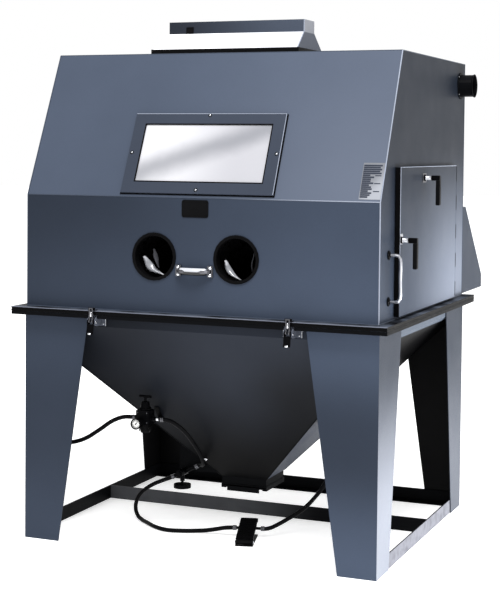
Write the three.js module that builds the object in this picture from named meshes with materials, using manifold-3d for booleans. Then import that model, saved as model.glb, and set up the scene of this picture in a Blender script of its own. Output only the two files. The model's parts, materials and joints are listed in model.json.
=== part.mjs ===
// A floor-standing sandblast cabinet: a hinged steel hood with a window, arm holes and a side door, over
// a hopper on four sheet legs, with its air line and foot pedal. Millimetres, +X right, +Y back, +Z up.
import * as THREE from "three";
import { mergeVertices } from "three/addons/utils/BufferGeometryUtils.js";
import Module from "manifold-3d";

// Driving dimensions.
const WIDTH = 1372; // hood, outside
const DEPTH = 1143;
const SHEET = 3;
const GAP = 0.3; // between pieces that touch
const HOOD_FOOT = 874; // top face of the hood's flange
const BEND = 1291; // where the front starts to slope
const ROOF = 1820;
const ROOF_SETBACK = 242; // how far the slope leans back
const FLANGE_OVERHANG = 43;
const FLANGE = 5; // flange plate thickness
const LEG_TOP = 266; // width of each leg face at the top and at the floor
const LEG_FOOT = 142;
const LEG_SHEET = 4;
const RAIL = 54; // height of the floor rails
const RAIL_SHEET = 5;
const HOPPER_CREASE = 811; // where the hopper's short upright lip turns into its slope
const HOPPER_MOUTH = 190; // height of the outlet
const OUTLET = 95; // half the outlet's side
const ARM_X = 160; // arm holes: half their spacing, height, radius of the opening
const ARM_Z = 1077;
const ARM_R = 76;
const HOSE = 16; // outside diameter of the air hoses

const halfW = WIDTH / 2;
const halfD = DEPTH / 2;
const roofFront = ROOF_SETBACK - halfD;
const sealTop = HOOD_FOOT - FLANGE - GAP;
const sealFoot = sealTop - 5;
const frameTop = sealFoot - GAP; // top face of the frame's flange
const frameFoot = frameTop - FLANGE;
const underFrame = frameFoot - GAP; // legs and hopper stop here

const wasm = await Module();
wasm.setup();

// ---- Solids from three.js geometry ----

function solid(geometry) {
  const bare = geometry.clone();
  bare.deleteAttribute("normal");
  bare.deleteAttribute("uv");
  const merged = mergeVertices(bare, 1e-3);
  const vertProperties = merged.attributes.position.array;
  const triVerts = new Uint32Array(merged.index.array);
  return new wasm.Manifold(new wasm.Mesh({ numProp: 3, vertProperties, triVerts }));
}

function geometryOf(body) {
  const mesh = body.getMesh();
  const geometry = new THREE.BufferGeometry();
  geometry.setAttribute("position", new THREE.BufferAttribute(Float32Array.from(mesh.vertProperties), 3));
  geometry.setIndex(new THREE.BufferAttribute(Uint32Array.from(mesh.triVerts), 1));
  return geometry;
}

function join(...bodies) {
  return bodies.reduce((sum, body) => sum.add(body));
}

function cut(body, ...tools) {
  return tools.reduce((rest, tool) => rest.subtract(tool), body);
}

function box([x0, x1], [y0, y1], [z0, z1]) {
  const geometry = new THREE.BoxGeometry(x1 - x0, y1 - y0, z1 - z0);
  return solid(geometry.translate((x0 + x1) / 2, (y0 + y1) / 2, (z0 + z1) / 2));
}

function vector(p) {
  return new THREE.Vector3(...p);
}

// Turns geometry built along its own Y axis so that it runs from p towards q.
function along(geometry, p, q) {
  const direction = vector(q).sub(vector(p)).normalize();
  const turn = new THREE.Quaternion().setFromUnitVectors(new THREE.Vector3(0, 1, 0), direction);
  return geometry.applyQuaternion(turn).translate(...p);
}

function rod(p, q, r, sides = 12, r2 = r) {
  const length = vector(p).distanceTo(vector(q));
  const geometry = new THREE.CylinderGeometry(r2, r, length, sides).translate(0, length / 2, 0);
  return solid(along(geometry, p, q));
}

// A turned piece: profile points [radius, distance from p], closed on itself.
function turned(profile, p, q, sides = 24) {
  const points = [...profile, profile[0]].map(([r, h]) => new THREE.Vector2(r, h));
  return solid(along(new THREE.LatheGeometry(points, sides), p, q));
}

function prism(points, depth) {
  const shape = new THREE.Shape(points.map(([a, b]) => new THREE.Vector2(a, b)));
  return new THREE.ExtrudeGeometry(shape, { depth, bevelEnabled: false });
}

// Outlines in the (y, z) plane between two x values, and in the (x, z) plane between two y values.
function prismX(points, x0, x1) {
  const turn = new THREE.Matrix4().makeBasis(vector([0, 1, 0]), vector([0, 0, 1]), vector([1, 0, 0]));
  return solid(prism(points, x1 - x0).applyMatrix4(turn).translate(x0, 0, 0));
}

function prismY(points, y0, y1) {
  const turn = new THREE.Matrix4().makeBasis(vector([1, 0, 0]), vector([0, 0, 1]), vector([0, -1, 0]));
  return solid(prism(points, y1 - y0).applyMatrix4(turn).translate(0, y1, 0));
}

function tube(points, r, steps, sides = 8) {
  const path = new THREE.CatmullRomCurve3(points.map(vector), false, "centripetal");
  const ring = new THREE.Shape();
  for (let i = 0; i < sides; i++) {
    const angle = (2 * Math.PI * i) / sides;
    if (i) ring.lineTo(r * Math.cos(angle), r * Math.sin(angle));
    else ring.moveTo(r, 0);
  }
  return solid(new THREE.ExtrudeGeometry(ring, { steps, bevelEnabled: false, extrudePath: path }));
}

// A skin through rings of equal point count, capped flat at its first and last ring.
function skin(rings) {
  const count = rings[0].length;
  const positions = rings.flat(2);
  const index = [];
  for (let i = 0; i + 1 < rings.length; i++) {
    for (let j = 0; j < count; j++) {
      const [a, b] = [i * count + j, i * count + ((j + 1) % count)];
      index.push(a, b, b + count, a, b + count, a + count);
    }
  }
  const last = (rings.length - 1) * count;
  for (let j = 1; j + 1 < count; j++) {
    index.push(0, j + 1, j, last, last + j, last + j + 1);
  }
  const geometry = new THREE.BufferGeometry();
  geometry.setAttribute("position", new THREE.Float32BufferAttribute(positions, 3));
  geometry.setIndex(index);
  return solid(geometry);
}

// A rectangle of corner points at height z, anticlockwise seen from above.
function level(hx, hy, z) {
  return [[-hx, -hy, z], [hx, -hy, z], [hx, hy, z], [-hx, hy, z]];
}

function frameRing(outerX, outerY, innerX, innerY, z0, z1) {
  return cut(box([-outerX, outerX], [-outerY, outerY], [z0, z1]),
    box([-innerX, innerX], [-innerY, innerY], [z0 - 1, z1 + 1]));
}

// ---- Materials ----

function finish(color, roughness, metalness) {
  return new THREE.MeshStandardMaterial({ color, roughness, metalness });
}

const paint = finish(0x5e6778, 0.45, 0.35);
const darkPaint = finish(0x23262c, 0.5, 0.3);
const rubber = finish(0x111214, 0.7, 0);
const chrome = finish(0xd0d2d6, 0.15, 1);
const glass = finish(0xe8ecf0, 0.05, 0);
const white = finish(0xe6e6e2, 0.5, 0);
const brass = finish(0xb08a45, 0.3, 1);
const plastic = finish(0x18191b, 0.4, 0);

const root = new THREE.Group();

function add(name, body, material, parent = root) {
  const mesh = new THREE.Mesh(geometryOf(body), material);
  mesh.name = name;
  parent.add(mesh);
  return mesh;
}

// ---- Stand ----

// One tapered leg of folded sheet round the front left corner; the others are its mirror images.
function leg(hole) {
  const x = -halfW - GAP;
  const y = -halfD - GAP;
  const outerX = x - LEG_SHEET;
  const outerY = y - LEG_SHEET;
  const face = (o) => [[o, 0], [o + LEG_FOOT, 0], [o + LEG_TOP, underFrame], [o, underFrame]];
  const body = join(prismY(face(outerX), outerY, y), prismX(face(outerY), outerX, x));
  return hole ? cut(body, rod([x - 20, ...hole], [x + 20, ...hole], 10.5)) : body;
}

const INLET = [-470, 350]; // y and z of the shop air inlet on the front left leg

function legs() {
  for (const [side, sx] of [["left", 1], ["right", -1]]) {
    for (const [end, sy] of [["front", 1], ["rear", -1]]) {
      const corner = new THREE.Group();
      corner.scale.set(sx, sy, 1);
      root.add(corner);
      add(`leg_${end}_${side}`, leg(sx === 1 && sy === 1 ? INLET : null), paint, corner);
    }
  }
}

const CROSS_Y = 92;

function rails() {
  const inner = halfW - RAIL_SHEET;
  const fold = 40; // width of the level side of the angle irons
  for (const [side, s] of [["left", -1], ["right", 1]]) {
    const [x0, x1] = [s * halfW, s * inner].sort((a, b) => a - b);
    add(`rail_${side}`, box([x0, x1], [-halfD, halfD], [0, RAIL]), darkPaint);
  }
  const reach = inner - GAP;
  for (const [name, y, s] of [["rail_cross", CROSS_Y, 1], ["rail_rear", halfD, -1]]) {
    const span = (a, b) => [y + s * a, y + s * b].sort((p, q) => p - q);
    const upright = box([-reach, reach], span(0, RAIL_SHEET), [0, RAIL]);
    add(name, join(upright, box([-reach, reach], span(0, fold), [0, RAIL_SHEET])), darkPaint);
  }
}

const slope = (halfW - OUTLET) / (HOPPER_CREASE - HOPPER_MOUTH); // of the hopper's side walls

function hopperHalfWidth(z) {
  return OUTLET + slope * (z - HOPPER_MOUTH);
}

function hopper() {
  const wall = SHEET * 1.4; // a sloping wall's thickness measured level
  const outer = skin([
    level(OUTLET, OUTLET, HOPPER_MOUTH),
    level(halfW, halfD, HOPPER_CREASE),
    level(halfW, halfD, underFrame),
  ]);
  const inner = skin([
    level(OUTLET - wall - slope, OUTLET - wall - slope, HOPPER_MOUTH - 1),
    level(halfW - SHEET, halfD - SHEET, HOPPER_CREASE + 1),
    level(halfW - SHEET, halfD - SHEET, underFrame + 1),
  ]);
  const [p, q] = bulkheadLine(-30, 30);
  add("hopper", cut(outer, inner, rod(p, q, 10.5)), darkPaint);
}

// The pedal line's bulkhead stands square to the hopper's right wall.
const BULKHEAD = { y: -30, z: 440 };

function bulkheadLine(from, to) {
  const across = new THREE.Vector3(1, 0, -slope).normalize();
  const foot = new THREE.Vector3(hopperHalfWidth(BULKHEAD.z), BULKHEAD.y, BULKHEAD.z);
  const at = (d) => foot.clone().addScaledVector(across, d).toArray();
  return [at(from), at(to)];
}

const HINGE_Y = halfD + FLANGE_OVERHANG + 8.5;
const HINGE_Z = (HOOD_FOOT + frameFoot) / 2;
const HINGE_X = [-480, 0, 480];
const KNUCKLE_R = 7;
const KNUCKLE = 40; // length of one hinge knuckle
const PIN_R = 2.8;

// The web that ties a knuckle of the hood hinge to the edge of its flange.
function hingeWeb(x0, x1, z0, z1) {
  return box([x0, x1], [halfD + FLANGE_OVERHANG - 1, HINGE_Y], [z0, z1]);
}

function frameFlange() {
  const plate = frameRing(halfW + FLANGE_OVERHANG, halfD + FLANGE_OVERHANG, halfW - 46, halfD - 46,
    frameFoot, frameTop);
  const knuckles = HINGE_X.flatMap((x) => [
    rod([x - 60, HINGE_Y, HINGE_Z], [x + 60, HINGE_Y, HINGE_Z], PIN_R),
    ...[x - 60, x + 20.5].map((start) => {
      const end = start + KNUCKLE - 0.5;
      const barrel = rod([start, HINGE_Y, HINGE_Z], [end, HINGE_Y, HINGE_Z], KNUCKLE_R, 12);
      return join(barrel, hingeWeb(start, end, frameFoot, frameTop - 1));
    }),
  ]);
  add("frame_flange", join(plate, ...knuckles), darkPaint);
}

function hoodFlange() {
  const inset = halfW - SHEET;
  const plate = frameRing(halfW + FLANGE_OVERHANG, halfD + FLANGE_OVERHANG, inset, halfD - SHEET,
    HOOD_FOOT - FLANGE, HOOD_FOOT);
  const knuckles = HINGE_X.map((x) => {
    const [start, end] = [x - 19.5, x + 19.5];
    const barrel = rod([start, HINGE_Y, HINGE_Z], [end, HINGE_Y, HINGE_Z], KNUCKLE_R, 12);
    const bore = rod([start - 1, HINGE_Y, HINGE_Z], [end + 1, HINGE_Y, HINGE_Z], PIN_R + 0.7);
    return cut(join(barrel, hingeWeb(start, end, HOOD_FOOT - FLANGE + 0.5, HOOD_FOOT)), bore);
  });
  add("hood_flange", join(plate, ...knuckles, ...LATCH_X.map(keeper)), darkPaint);
}

function hoodSeal() {
  const ring = frameRing(halfW + FLANGE_OVERHANG - 1, halfD + FLANGE_OVERHANG - 1, halfW - 2, halfD - 2,
    sealFoot, sealTop);
  add("hood_seal", ring, rubber);
}

function workGrate() {
  const [hx, hy] = [halfW - 26, halfD - 26];
  const [z0, z1] = [frameTop + GAP, frameTop + GAP + 10];
  const rim = frameRing(hx, hy, hx - 25, hy - 25, z0, z1);
  const bars = [box([-hx + 20, hx - 20], [-4, 4], [z0 + 2, z1 - 2])];
  const pitch = 146;
  for (let x = -3.5 * pitch; x < hx - pitch / 2; x += pitch) {
    bars.push(box([x - 4, x + 4], [-hy + 20, hy - 20], [z0 + 1, z1 - 1]));
  }
  add("work_grate", join(rim, ...bars), darkPaint);
}

const GATE_Z = 152; // middle of the slide gate

function outlet() {
  const side = OUTLET - GAP - 2;
  const [top, foot] = [HOPPER_MOUTH - GAP, GATE_Z + 9];
  const neck = box([-side, side], [-side, side], [foot, top]);
  const bore = box([-side + SHEET, side - SHEET], [-side + SHEET, side - SHEET], [GATE_Z + 3, top + 1]);
  const plate = box([-OUTLET, OUTLET], [-OUTLET, OUTLET], [GATE_Z + 4, foot + 1]);
  const guides = [-1, 1].map((s) => {
    const [x0, x1] = [s * OUTLET, s * (OUTLET - 8)].sort((a, b) => a - b);
    const [l0, l1] = [s * OUTLET, s * (OUTLET - 18)].sort((a, b) => a - b);
    const web = box([x0, x1], [-OUTLET, OUTLET], [GATE_Z - 8, GATE_Z + 5]);
    return join(web, box([l0, l1], [-OUTLET, OUTLET], [GATE_Z - 8, GATE_Z - 4]));
  });
  add("hopper_outlet", cut(join(neck, plate, ...guides), bore), darkPaint);
}

function slideGate() {
  const half = OUTLET - 8.5;
  const plate = box([-half, half], [-OUTLET - 6, OUTLET - 4], [GATE_Z - 2.5, GATE_Z + 2.5]);
  const lip = box([-half + 20, half - 20], [-OUTLET - 10, -OUTLET - 5], [GATE_Z - 16, GATE_Z + 2.5]);
  add("slide_gate", join(plate, lip), darkPaint);
}

// ---- Hood ----

// The hood's side view, from the front foot round to the rear foot, as (y, z).
const hoodOutline = [
  [-halfD, HOOD_FOOT + GAP],
  [-halfD, BEND],
  [roofFront, ROOF],
  [halfD, ROOF],
  [halfD, HOOD_FOOT + GAP],
];

function cross2(a, b) {
  return a[0] * b[1] - a[1] * b[0];
}

// The same outline moved inwards by the sheet's thickness.
function insetOutline(outline, by) {
  const edges = outline.slice(1).map((p, i) => {
    const [dy, dz] = [p[0] - outline[i][0], p[1] - outline[i][1]];
    const length = Math.hypot(dy, dz);
    const along2 = [dy / length, dz / length];
    return { from: [outline[i][0] + along2[1] * by, outline[i][1] - along2[0] * by], along2 };
  });
  return outline.map((p, i) => {
    const before = edges[Math.max(i - 1, 0)];
    const after = edges[Math.min(i, edges.length - 1)];
    if (before === after) return [after.from[0], p[1]];
    const gap = [after.from[0] - before.from[0], after.from[1] - before.from[1]];
    const t = cross2(gap, after.along2) / cross2(before.along2, after.along2);
    return [before.from[0] + t * before.along2[0], before.from[1] + t * before.along2[1]];
  });
}

const panelHalf = halfW - SHEET - GAP;

function hoodPanel(i) {
  const inner = insetOutline(hoodOutline, SHEET);
  const [p, q] = [hoodOutline[i], hoodOutline[i + 1]];
  const length = Math.hypot(q[0] - p[0], q[1] - p[1]);
  const nudge = (point, d) => [
    point[0] + (d * (q[0] - p[0])) / length,
    point[1] + (d * (q[1] - p[1])) / length,
  ];
  const clear = GAP / 2 + 0.05;
  const corners = [nudge(p, clear), nudge(q, -clear), nudge(inner[i + 1], -clear), nudge(inner[i], clear)];
  return prismX(corners.reverse(), -panelHalf, panelHalf);
}

// The sloping front has its own frame: u along the bend, v up the slope, w out of the face.
const slopeLength = Math.hypot(ROOF_SETBACK, ROOF - BEND);
const upSlope = vector([0, ROOF_SETBACK / slopeLength, (ROOF - BEND) / slopeLength]);
const outOfSlope = new THREE.Vector3(1, 0, 0).cross(upSlope);
const slopeFrame = new THREE.Matrix4()
  .makeBasis(vector([1, 0, 0]), upSlope, outOfSlope)
  .setPosition(0, -halfD, BEND);

function onSlope(body) {
  return solid(geometryOf(body).applyMatrix4(slopeFrame));
}

const WINDOW = { foot: 13, height: 316, halfWidth: 297, border: 45 };
const windowSight = {
  u: WINDOW.halfWidth - WINDOW.border,
  v: [WINDOW.foot + WINDOW.border - 2, WINDOW.foot + WINDOW.height - WINDOW.border + 4],
};

function windowParts() {
  const { foot, height, halfWidth } = WINDOW;
  const { u, v } = windowSight;
  const pane = box([-u - 10, u + 10], [v[0] - 10, v[1] + 10], [GAP, 6]);
  add("window_glass", onSlope(pane), glass);
  const frame = box([-halfWidth, halfWidth], [foot, foot + height], [GAP, 9]);
  const rebate = box([-u - 10.4, u + 10.4], [v[0] - 10.4, v[1] + 10.4], [0, 6.4]);
  const sight = box([-u, u], v, [0, 12]);
  add("window_frame", onSlope(cut(frame, rebate, sight)), paint);
}

function frontPanels() {
  const holes = [-ARM_X, ARM_X].map((x) => {
    return rod([x, -halfD - 10, ARM_Z], [x, -halfD + 10, ARM_Z], ARM_R + 4, 32);
  });
  add("front_panel", cut(hoodPanel(0), ...holes), paint);
  const { u, v } = windowSight;
  const opening = onSlope(box([-u, u], v, [-12, 5]));
  add("sloping_front", cut(hoodPanel(1), opening), paint);
}

const LIGHT = {
  capX: [-259, 288],
  capY: [-250, -145],
  footX: [-294, 290],
  footY: [-324, -65],
  foot: 1836,
  shoulder: 1899,
  top: 1944,
};

const SWITCH = { x: -173, z: 1913 }; // on the front of the lamp cover's cap

const AIR_IN = { x: [300, 683], top: 1236, flat: 56, reach: 354, lip: 933, foot: 879 };

function roofAndRear() {
  const light = box([-240, 236], [-300, -90], [ROOF - 20, ROOF + 20]);
  add("roof_panel", cut(hoodPanel(2), light), paint);
  const [x0, x1] = AIR_IN.x;
  const air = box([x0 + 30, x1 - 30], [halfD - 20, halfD + 20], [AIR_IN.lip, AIR_IN.top - 40]);
  add("rear_panel", cut(hoodPanel(3), air), paint);
}

const DOOR = { y: [-400, 376], z: [886, 1408], out: 20, depth: 17.7 };
const SPIGOT = { y: 500, z: 1729, r: 44, length: 60 };

function sidePanels() {
  const outline = hoodOutline.map(([y, z]) => [y, z]).reverse();
  add("side_panel_left", prismX(outline, -halfW, -halfW + SHEET), paint);
  const [y0, y1] = DOOR.y;
  const [z0, z1] = DOOR.z;
  const doorway = box([halfW - 20, halfW + 20], [y0 + 25, y1 - 25], [z0 + 25, z1 - 25]);
  const { y, z, r } = SPIGOT;
  const port = rod([halfW - 20, y, z], [halfW + 20, y, z], r - 3, 32);
  add("side_panel_right", cut(prismX(outline, halfW - SHEET, halfW), doorway, port), paint);
}

// A tapering cover over the roof lamp, open below.
function lightHousing() {
  const { capX, capY, footX, footY, foot, shoulder, top } = LIGHT;
  const ring = ([x0, x1], [y0, y1], z, t) => [
    [x0 + t, y0 + t, z],
    [x1 - t, y0 + t, z],
    [x1 - t, y1 - t, z],
    [x0 + t, y1 - t, z],
  ];
  const layers = (t, low, high) => skin([
    ring(footX, footY, low, t),
    ring(footX, footY, foot, t),
    ring(capX, capY, shoulder, t),
    ring(capX, capY, high, t),
  ]);
  const shell = cut(layers(0, ROOF + GAP, top), layers(3, ROOF - 1, top - 3));
  const { x, z } = SWITCH;
  const well = box([x - 12.6, x + 12.6], [capY[0] - 5, capY[0] + 20], [z - 9.8, z + 9.8]);
  add("light_housing", cut(shell, well), white);
}

function lightSwitch() {
  const { x, z } = SWITCH;
  const y = LIGHT.capY[0];
  const side = [[y - 4, z - 9], [y + 5, z - 9], [y + 5, z + 9], [y - 1, z + 9], [y - 1.5, z]];
  const rocker = prismX(side, x - 12, x + 12);
  add("light_switch", rocker, plastic);
}

function exhaustSpigot() {
  const { y, z, r, length } = SPIGOT;
  const profile = [
    [r - 3, GAP],
    [r + 9, GAP],
    [r + 9, 4],
    [r, 4],
    [r, length],
    [r - 3, length],
  ];
  add("exhaust_spigot", turned(profile, [halfW, y, z], [halfW + 1, y, z]), darkPaint);
}

function airInletHood() {
  const { x, top, flat, reach, lip, foot } = AIR_IN;
  const y = halfD + GAP;
  const view = (t) => [
    [t ? y - 5 : y, foot - t * 5],
    [y + reach - t, foot - t * 5],
    [y + reach - t, lip - t * 0.6],
    [y + flat - t * 0.6, top - t],
    [t ? y - 5 : y, top - t],
  ];
  const outer = prismX(view(0), x[0], x[1]);
  add("air_inlet_hood", cut(outer, prismX(view(2), x[0] + 2, x[1] - 2)), paint);
}

function armRings() {
  const profile = [
    [ARM_R, -4],
    [ARM_R + 11, -4],
    [ARM_R + 11, -GAP],
    [ARM_R + 3, -GAP],
    [ARM_R + 3, 30],
    [ARM_R, 30],
  ];
  for (const [side, s] of [["left", -1], ["right", 1]]) {
    const x = s * ARM_X;
    const ring = turned(profile, [x, -halfD, ARM_Z], [x, -halfD + 1, ARM_Z]);
    add(`arm_ring_${side}`, ring, rubber);
  }
}

// A glove hangs limp from its ring: rings of a sleeve round a drooping line, as [y, z, radius].
const gloveLine = [
  [6, 0, 86],
  [44, -1, 86],
  [110, -14, 77],
  [200, -52, 64],
  [265, -95, 54],
  [320, -130, 45],
  [375, -152, 42],
  [425, -163, 34],
  [455, -166, 18],
];

function glove(x) {
  const sides = 12;
  const rings = (wall, stop) => gloveLine.slice(0, gloveLine.length - stop).map(([y, z, r], i) => {
    const a = gloveLine[Math.max(i - 1, 0)];
    const b = gloveLine[Math.min(i + 1, gloveLine.length - 1)];
    const tilt = i ? Math.atan2(b[1] - a[1], b[0] - a[0]) : 0;
    return Array.from({ length: sides }, (_, j) => {
      const angle = (2 * Math.PI * j) / sides;
      const [across, up] = [(r - wall) * Math.cos(angle), (r - wall) * Math.sin(angle)];
      return [x + across, -halfD + y - up * Math.sin(tilt), ARM_Z + z + up * Math.cos(tilt)];
    });
  });
  return skin([...rings(0, 0).reverse(), ...rings(3, 1)]);
}

function gloves() {
  for (const [side, s] of [["left", -1], ["right", 1]]) {
    add(`glove_${side}`, glove(s * ARM_X), rubber);
  }
}

function liftHandle() {
  const y = -halfD; const z = 1030;
  const bow = [[-60, y - 8, z], [-52, y - 16, z], [-34, y - 22, z], [0, y - 24, z], [34, y - 22, z],
    [52, y - 16, z], [60, y - 8, z]];
  const feet = [-62, 62].map((x) => box([x - 10, x + 10], [y - 7, y - GAP], [z - 19, z + 21]));
  add("lift_handle", join(tube(bow, 8, 14, 8), ...feet), chrome);
}

function pullHandle() {
  const y = -470;
  const [z0, z1] = [945, 1106];
  const out = halfW + 43;
  const bar = [
    [halfW + 2, y, z0],
    [out - 14, y, z0],
    [out - 4, y, z0 + 4],
    [out, y, z0 + 16],
    [out, y, (z0 + z1) / 2],
    [out, y, z1 - 16],
    [out - 4, y, z1 - 4],
    [out - 14, y, z1],
    [halfW + 2, y, z1],
  ];
  const feet = [z0, z1].map((z) => rod([halfW + GAP, y, z], [halfW + 4, y, z], 13, 16));
  add("pull_handle", join(tube(bar, 6, 20, 8), ...feet), chrome);
}

// ---- Door ----

const DOOR_AXIS = { x: halfW + 14, y: 385 };
const DOOR_KNUCKLES = 4;

function doorKnuckle(z0, z1, side) {
  const { x, y } = DOOR_AXIS;
  const barrel = rod([x, y, z0], [x, y, z1], 6, 10);
  const [y0, y1] = side > 0 ? [y, y + 10] : [y - 10.5, y];
  return join(barrel, box([x - 3, x + 3], [y0, y1], [z0, z1]));
}

// Alternate lengths of the piano hinge: even ones belong to the hood, odd ones to the door.
function doorKnuckles(odd) {
  const [z0, z1] = [DOOR.z[0] + 4, DOOR.z[1] - 4];
  const pitch = (z1 - z0) / (2 * DOOR_KNUCKLES + 1);
  const made = [];
  for (let i = odd; i < 2 * DOOR_KNUCKLES + 1; i += 2) {
    made.push(doorKnuckle(z0 + i * pitch, z0 + (i + 1) * pitch - 0.6, odd ? -1 : 1));
  }
  return made;
}

function doorHinge() {
  const { x, y } = DOOR_AXIS;
  const [z0, z1] = DOOR.z;
  const leaf = box([halfW + GAP, x], [y + 8, y + 22], [z0 + 2, z1 - 2]);
  const pin = rod([x, y, z0 + 2], [x, y, z1 - 2], 2.2);
  add("door_hinge", join(leaf, pin, ...doorKnuckles(0)), paint);
}

const LEVER_TOP = { y: -95, z: 1367 };
const LEVER_FRONT = { y: -388, z: 1154 };

function door() {
  const [y0, y1] = DOOR.y;
  const [z0, z1] = DOOR.z;
  const [x0, x1] = [halfW + DOOR.out - DOOR.depth, halfW + DOOR.out];
  const pan = cut(box([x0, x1], [y0, y1], [z0, z1]),
    box([x0 - 1, x1 - 2], [y0 + 2, y1 - 2], [z0 + 2, z1 - 2]));
  const bores = [LEVER_TOP, LEVER_FRONT].map(({ y, z }) => rod([x0 - 5, y, z], [x1 + 5, y, z], 7));
  const { x, y } = DOOR_AXIS;
  const bore = rod([x, y, z0 - 1], [x, y, z1 + 1], 2.8);
  add("door_panel", cut(join(pan, ...doorKnuckles(1)), ...bores, bore), paint);
}

// An L-shaped latch lever: a shaft out of the door, an arm, and a grip that hangs down.
function lever({ y, z }) {
  const face = halfW + DOOR.out;
  const shaft = rod([face - 12, y, z], [face + 34, y, z], 6);
  const washer = rod([face + GAP, y, z], [face + 6, y, z], 12, 16);
  const cam = rod([face - 14, y, z], [face - 9, y, z], 9);
  const arm = box([face + 28, face + 60], [y - 7, y + 7], [z - 8, z + 8]);
  const grip = box([face + 48, face + 60], [y - 8, y + 8], [z - 98, z + 8]);
  return join(shaft, washer, cam, arm, grip);
}

function doorLevers() {
  add("door_lever_top", lever(LEVER_TOP), plastic);
  add("door_lever_front", lever(LEVER_FRONT), plastic);
}

// ---- Front toggle latches ----

const LATCH_X = [-388, 376];
const LATCH_PIVOT = { a: 44, z: 832 }; // a is the distance out from the front wall
const LATCH_LINK = { a: 53, z: 836 };
const KEEPER_TOP = HOOD_FOOT + 12;

// Outlines of the latches are drawn as (a, z) pairs, with a growing towards the operator.
function latchPrism(points, x0, x1) {
  return prismX(points.map(([a, z]) => [-halfD - a, z]), x0, x1);
}

function latchPin({ a, z }, x0, x1, r, sides = 12) {
  return rod([x0, -halfD - a, z], [x1, -halfD - a, z], r, sides);
}

// The catch on the hood's flange, with its lip turned up.
function keeper(x) {
  const lip = [[28, HOOD_FOOT - 1], [28, HOOD_FOOT + 4], [44, HOOD_FOOT + 4], [45, KEEPER_TOP],
    [49, KEEPER_TOP], [49, HOOD_FOOT + 1], [43, HOOD_FOOT - 1]];
  return latchPrism(lip, x - 13, x + 13);
}

function latchBase() {
  const plate = box([-35, 35], [-halfD - 3.3, -halfD - GAP], [816, 853]);
  const ear = [[1, 818], [1, 852], [38, 852], [52, 842], [52, 824], [40, 818]];
  const ears = [-1, 1].map((s) => {
    const [x0, x1] = [s * 13.5, s * 16.5].sort((p, q) => p - q);
    return latchPrism(ear, x0, x1);
  });
  return join(plate, ...ears, latchPin(LATCH_PIVOT, -17, 17, 2.4));
}

function latchLever() {
  const side = [[38, 826], [38, 838], [50, 843], [59, 840], [61, 797], [57.5, 797], [54, 824]];
  const cheeks = [-1, 1].map((s) => {
    const [x0, x1] = [s * 10, s * 12.5].sort((p, q) => p - q);
    return latchPrism(side, x0, x1);
  });
  const web = latchPrism([[57.5, 797], [55.8, 826], [58.2, 826], [61, 797]], -12.5, 12.5);
  const tip = latchPrism([[57.5, 792], [57.5, 799], [61, 799], [66, 792], [64, 789]], -12.5, 12.5);
  const body = join(...cheeks, web, tip, latchPin(LATCH_LINK, -11, 11, 2.2));
  return cut(body, latchPin(LATCH_PIVOT, -20, 20, 3));
}

function latchHook() {
  const { a, z } = LATCH_LINK;
  const high = KEEPER_TOP - 3;
  const legs2 = [-6, 6].map((x) => {
    const eye = latchPin(LATCH_LINK, x - 2, x + 2, 4.6);
    return join(eye, rod([x, -halfD - a, z + 2], [x, -halfD - a, high], 2.1, 8));
  });
  const bail = rod([-8, -halfD - a, high], [8, -halfD - a, high], 2.1, 8);
  return cut(join(...legs2, bail), latchPin(LATCH_LINK, -12, 12, 2.9));
}

function latches() {
  for (const [i, side] of ["left", "right"].entries()) {
    const place = new THREE.Group();
    place.position.x = LATCH_X[i];
    root.add(place);
    add(`latch_base_${side}`, latchBase(), chrome, place);
    add(`latch_lever_${side}`, latchLever(), chrome, place);
    add(`latch_hook_${side}`, latchHook(), chrome, place);
  }
}

// ---- Air line ----

const REGULATOR = { x: -280, y: -395, z: 458, ports: 452 }; // z is the middle of its body
const GAUGE = { x: -287, y: -450, z: 440, r: 20 };
const frontSlope = (halfD - OUTLET) / (HOPPER_CREASE - HOPPER_MOUTH);

// Where the hopper's front wall stands at height z, and a point clear of it by the given distance.
function frontWall(z, clear = 0) {
  return -OUTLET - frontSlope * (z - HOPPER_MOUTH) - clear * Math.hypot(1, frontSlope);
}

function regulator() {
  const { x, y, z, ports } = REGULATOR;
  const foot = z - 26;
  const bracket = [x + 2, x + 22];
  const backPlate = [[1, foot - 6], [1, z + 24], [4, z + 24], [4, foot - 6]];
  const piece = join(
    box([x - 26, x + 26], [y - 26, y + 26], [foot, z + 26]),
    rod([x, y, z + 25], [x, y, z + 56], 21, 16, 15),
    rod([x, y, z + 55], [x, y, z + 60], 6, 10),
    rod([x, y, foot + 1], [x, y, foot - 4], 18, 16),
    rod([x + 25, y, ports], [x + 42, y, ports], 9, 6),
    rod([x + 41, y, ports], [x + 63, y, ports], 5, 10),
    rod([x - 25, y, ports], [x - 38, y, ports], 9, 6),
    rod([GAUGE.x, y - 25, GAUGE.z], [GAUGE.x, GAUGE.y + 12, GAUGE.z], 6, 10),
    box(bracket, [y + 25, frontWall(foot + 3, 2)], [foot, foot + 4]),
    prismX(backPlate.map(([clear, height]) => [frontWall(height, clear), height]), ...bracket),
  );
  add("regulator_body", piece, chrome);
  add("regulator_bowl", rod([x, y, foot - 4 - GAP], [x, y, foot - 34], 21, 16, 16), plastic);
  const knobFoot = z + 60 + GAP;
  const grip = join(
    rod([x, y, knobFoot], [x, y, knobFoot + 18], 5, 10),
    rod([x - 24, y, knobFoot + 16], [x + 24, y, knobFoot + 16], 5, 10),
  );
  add("regulator_knob", grip, chrome);
}

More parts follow.
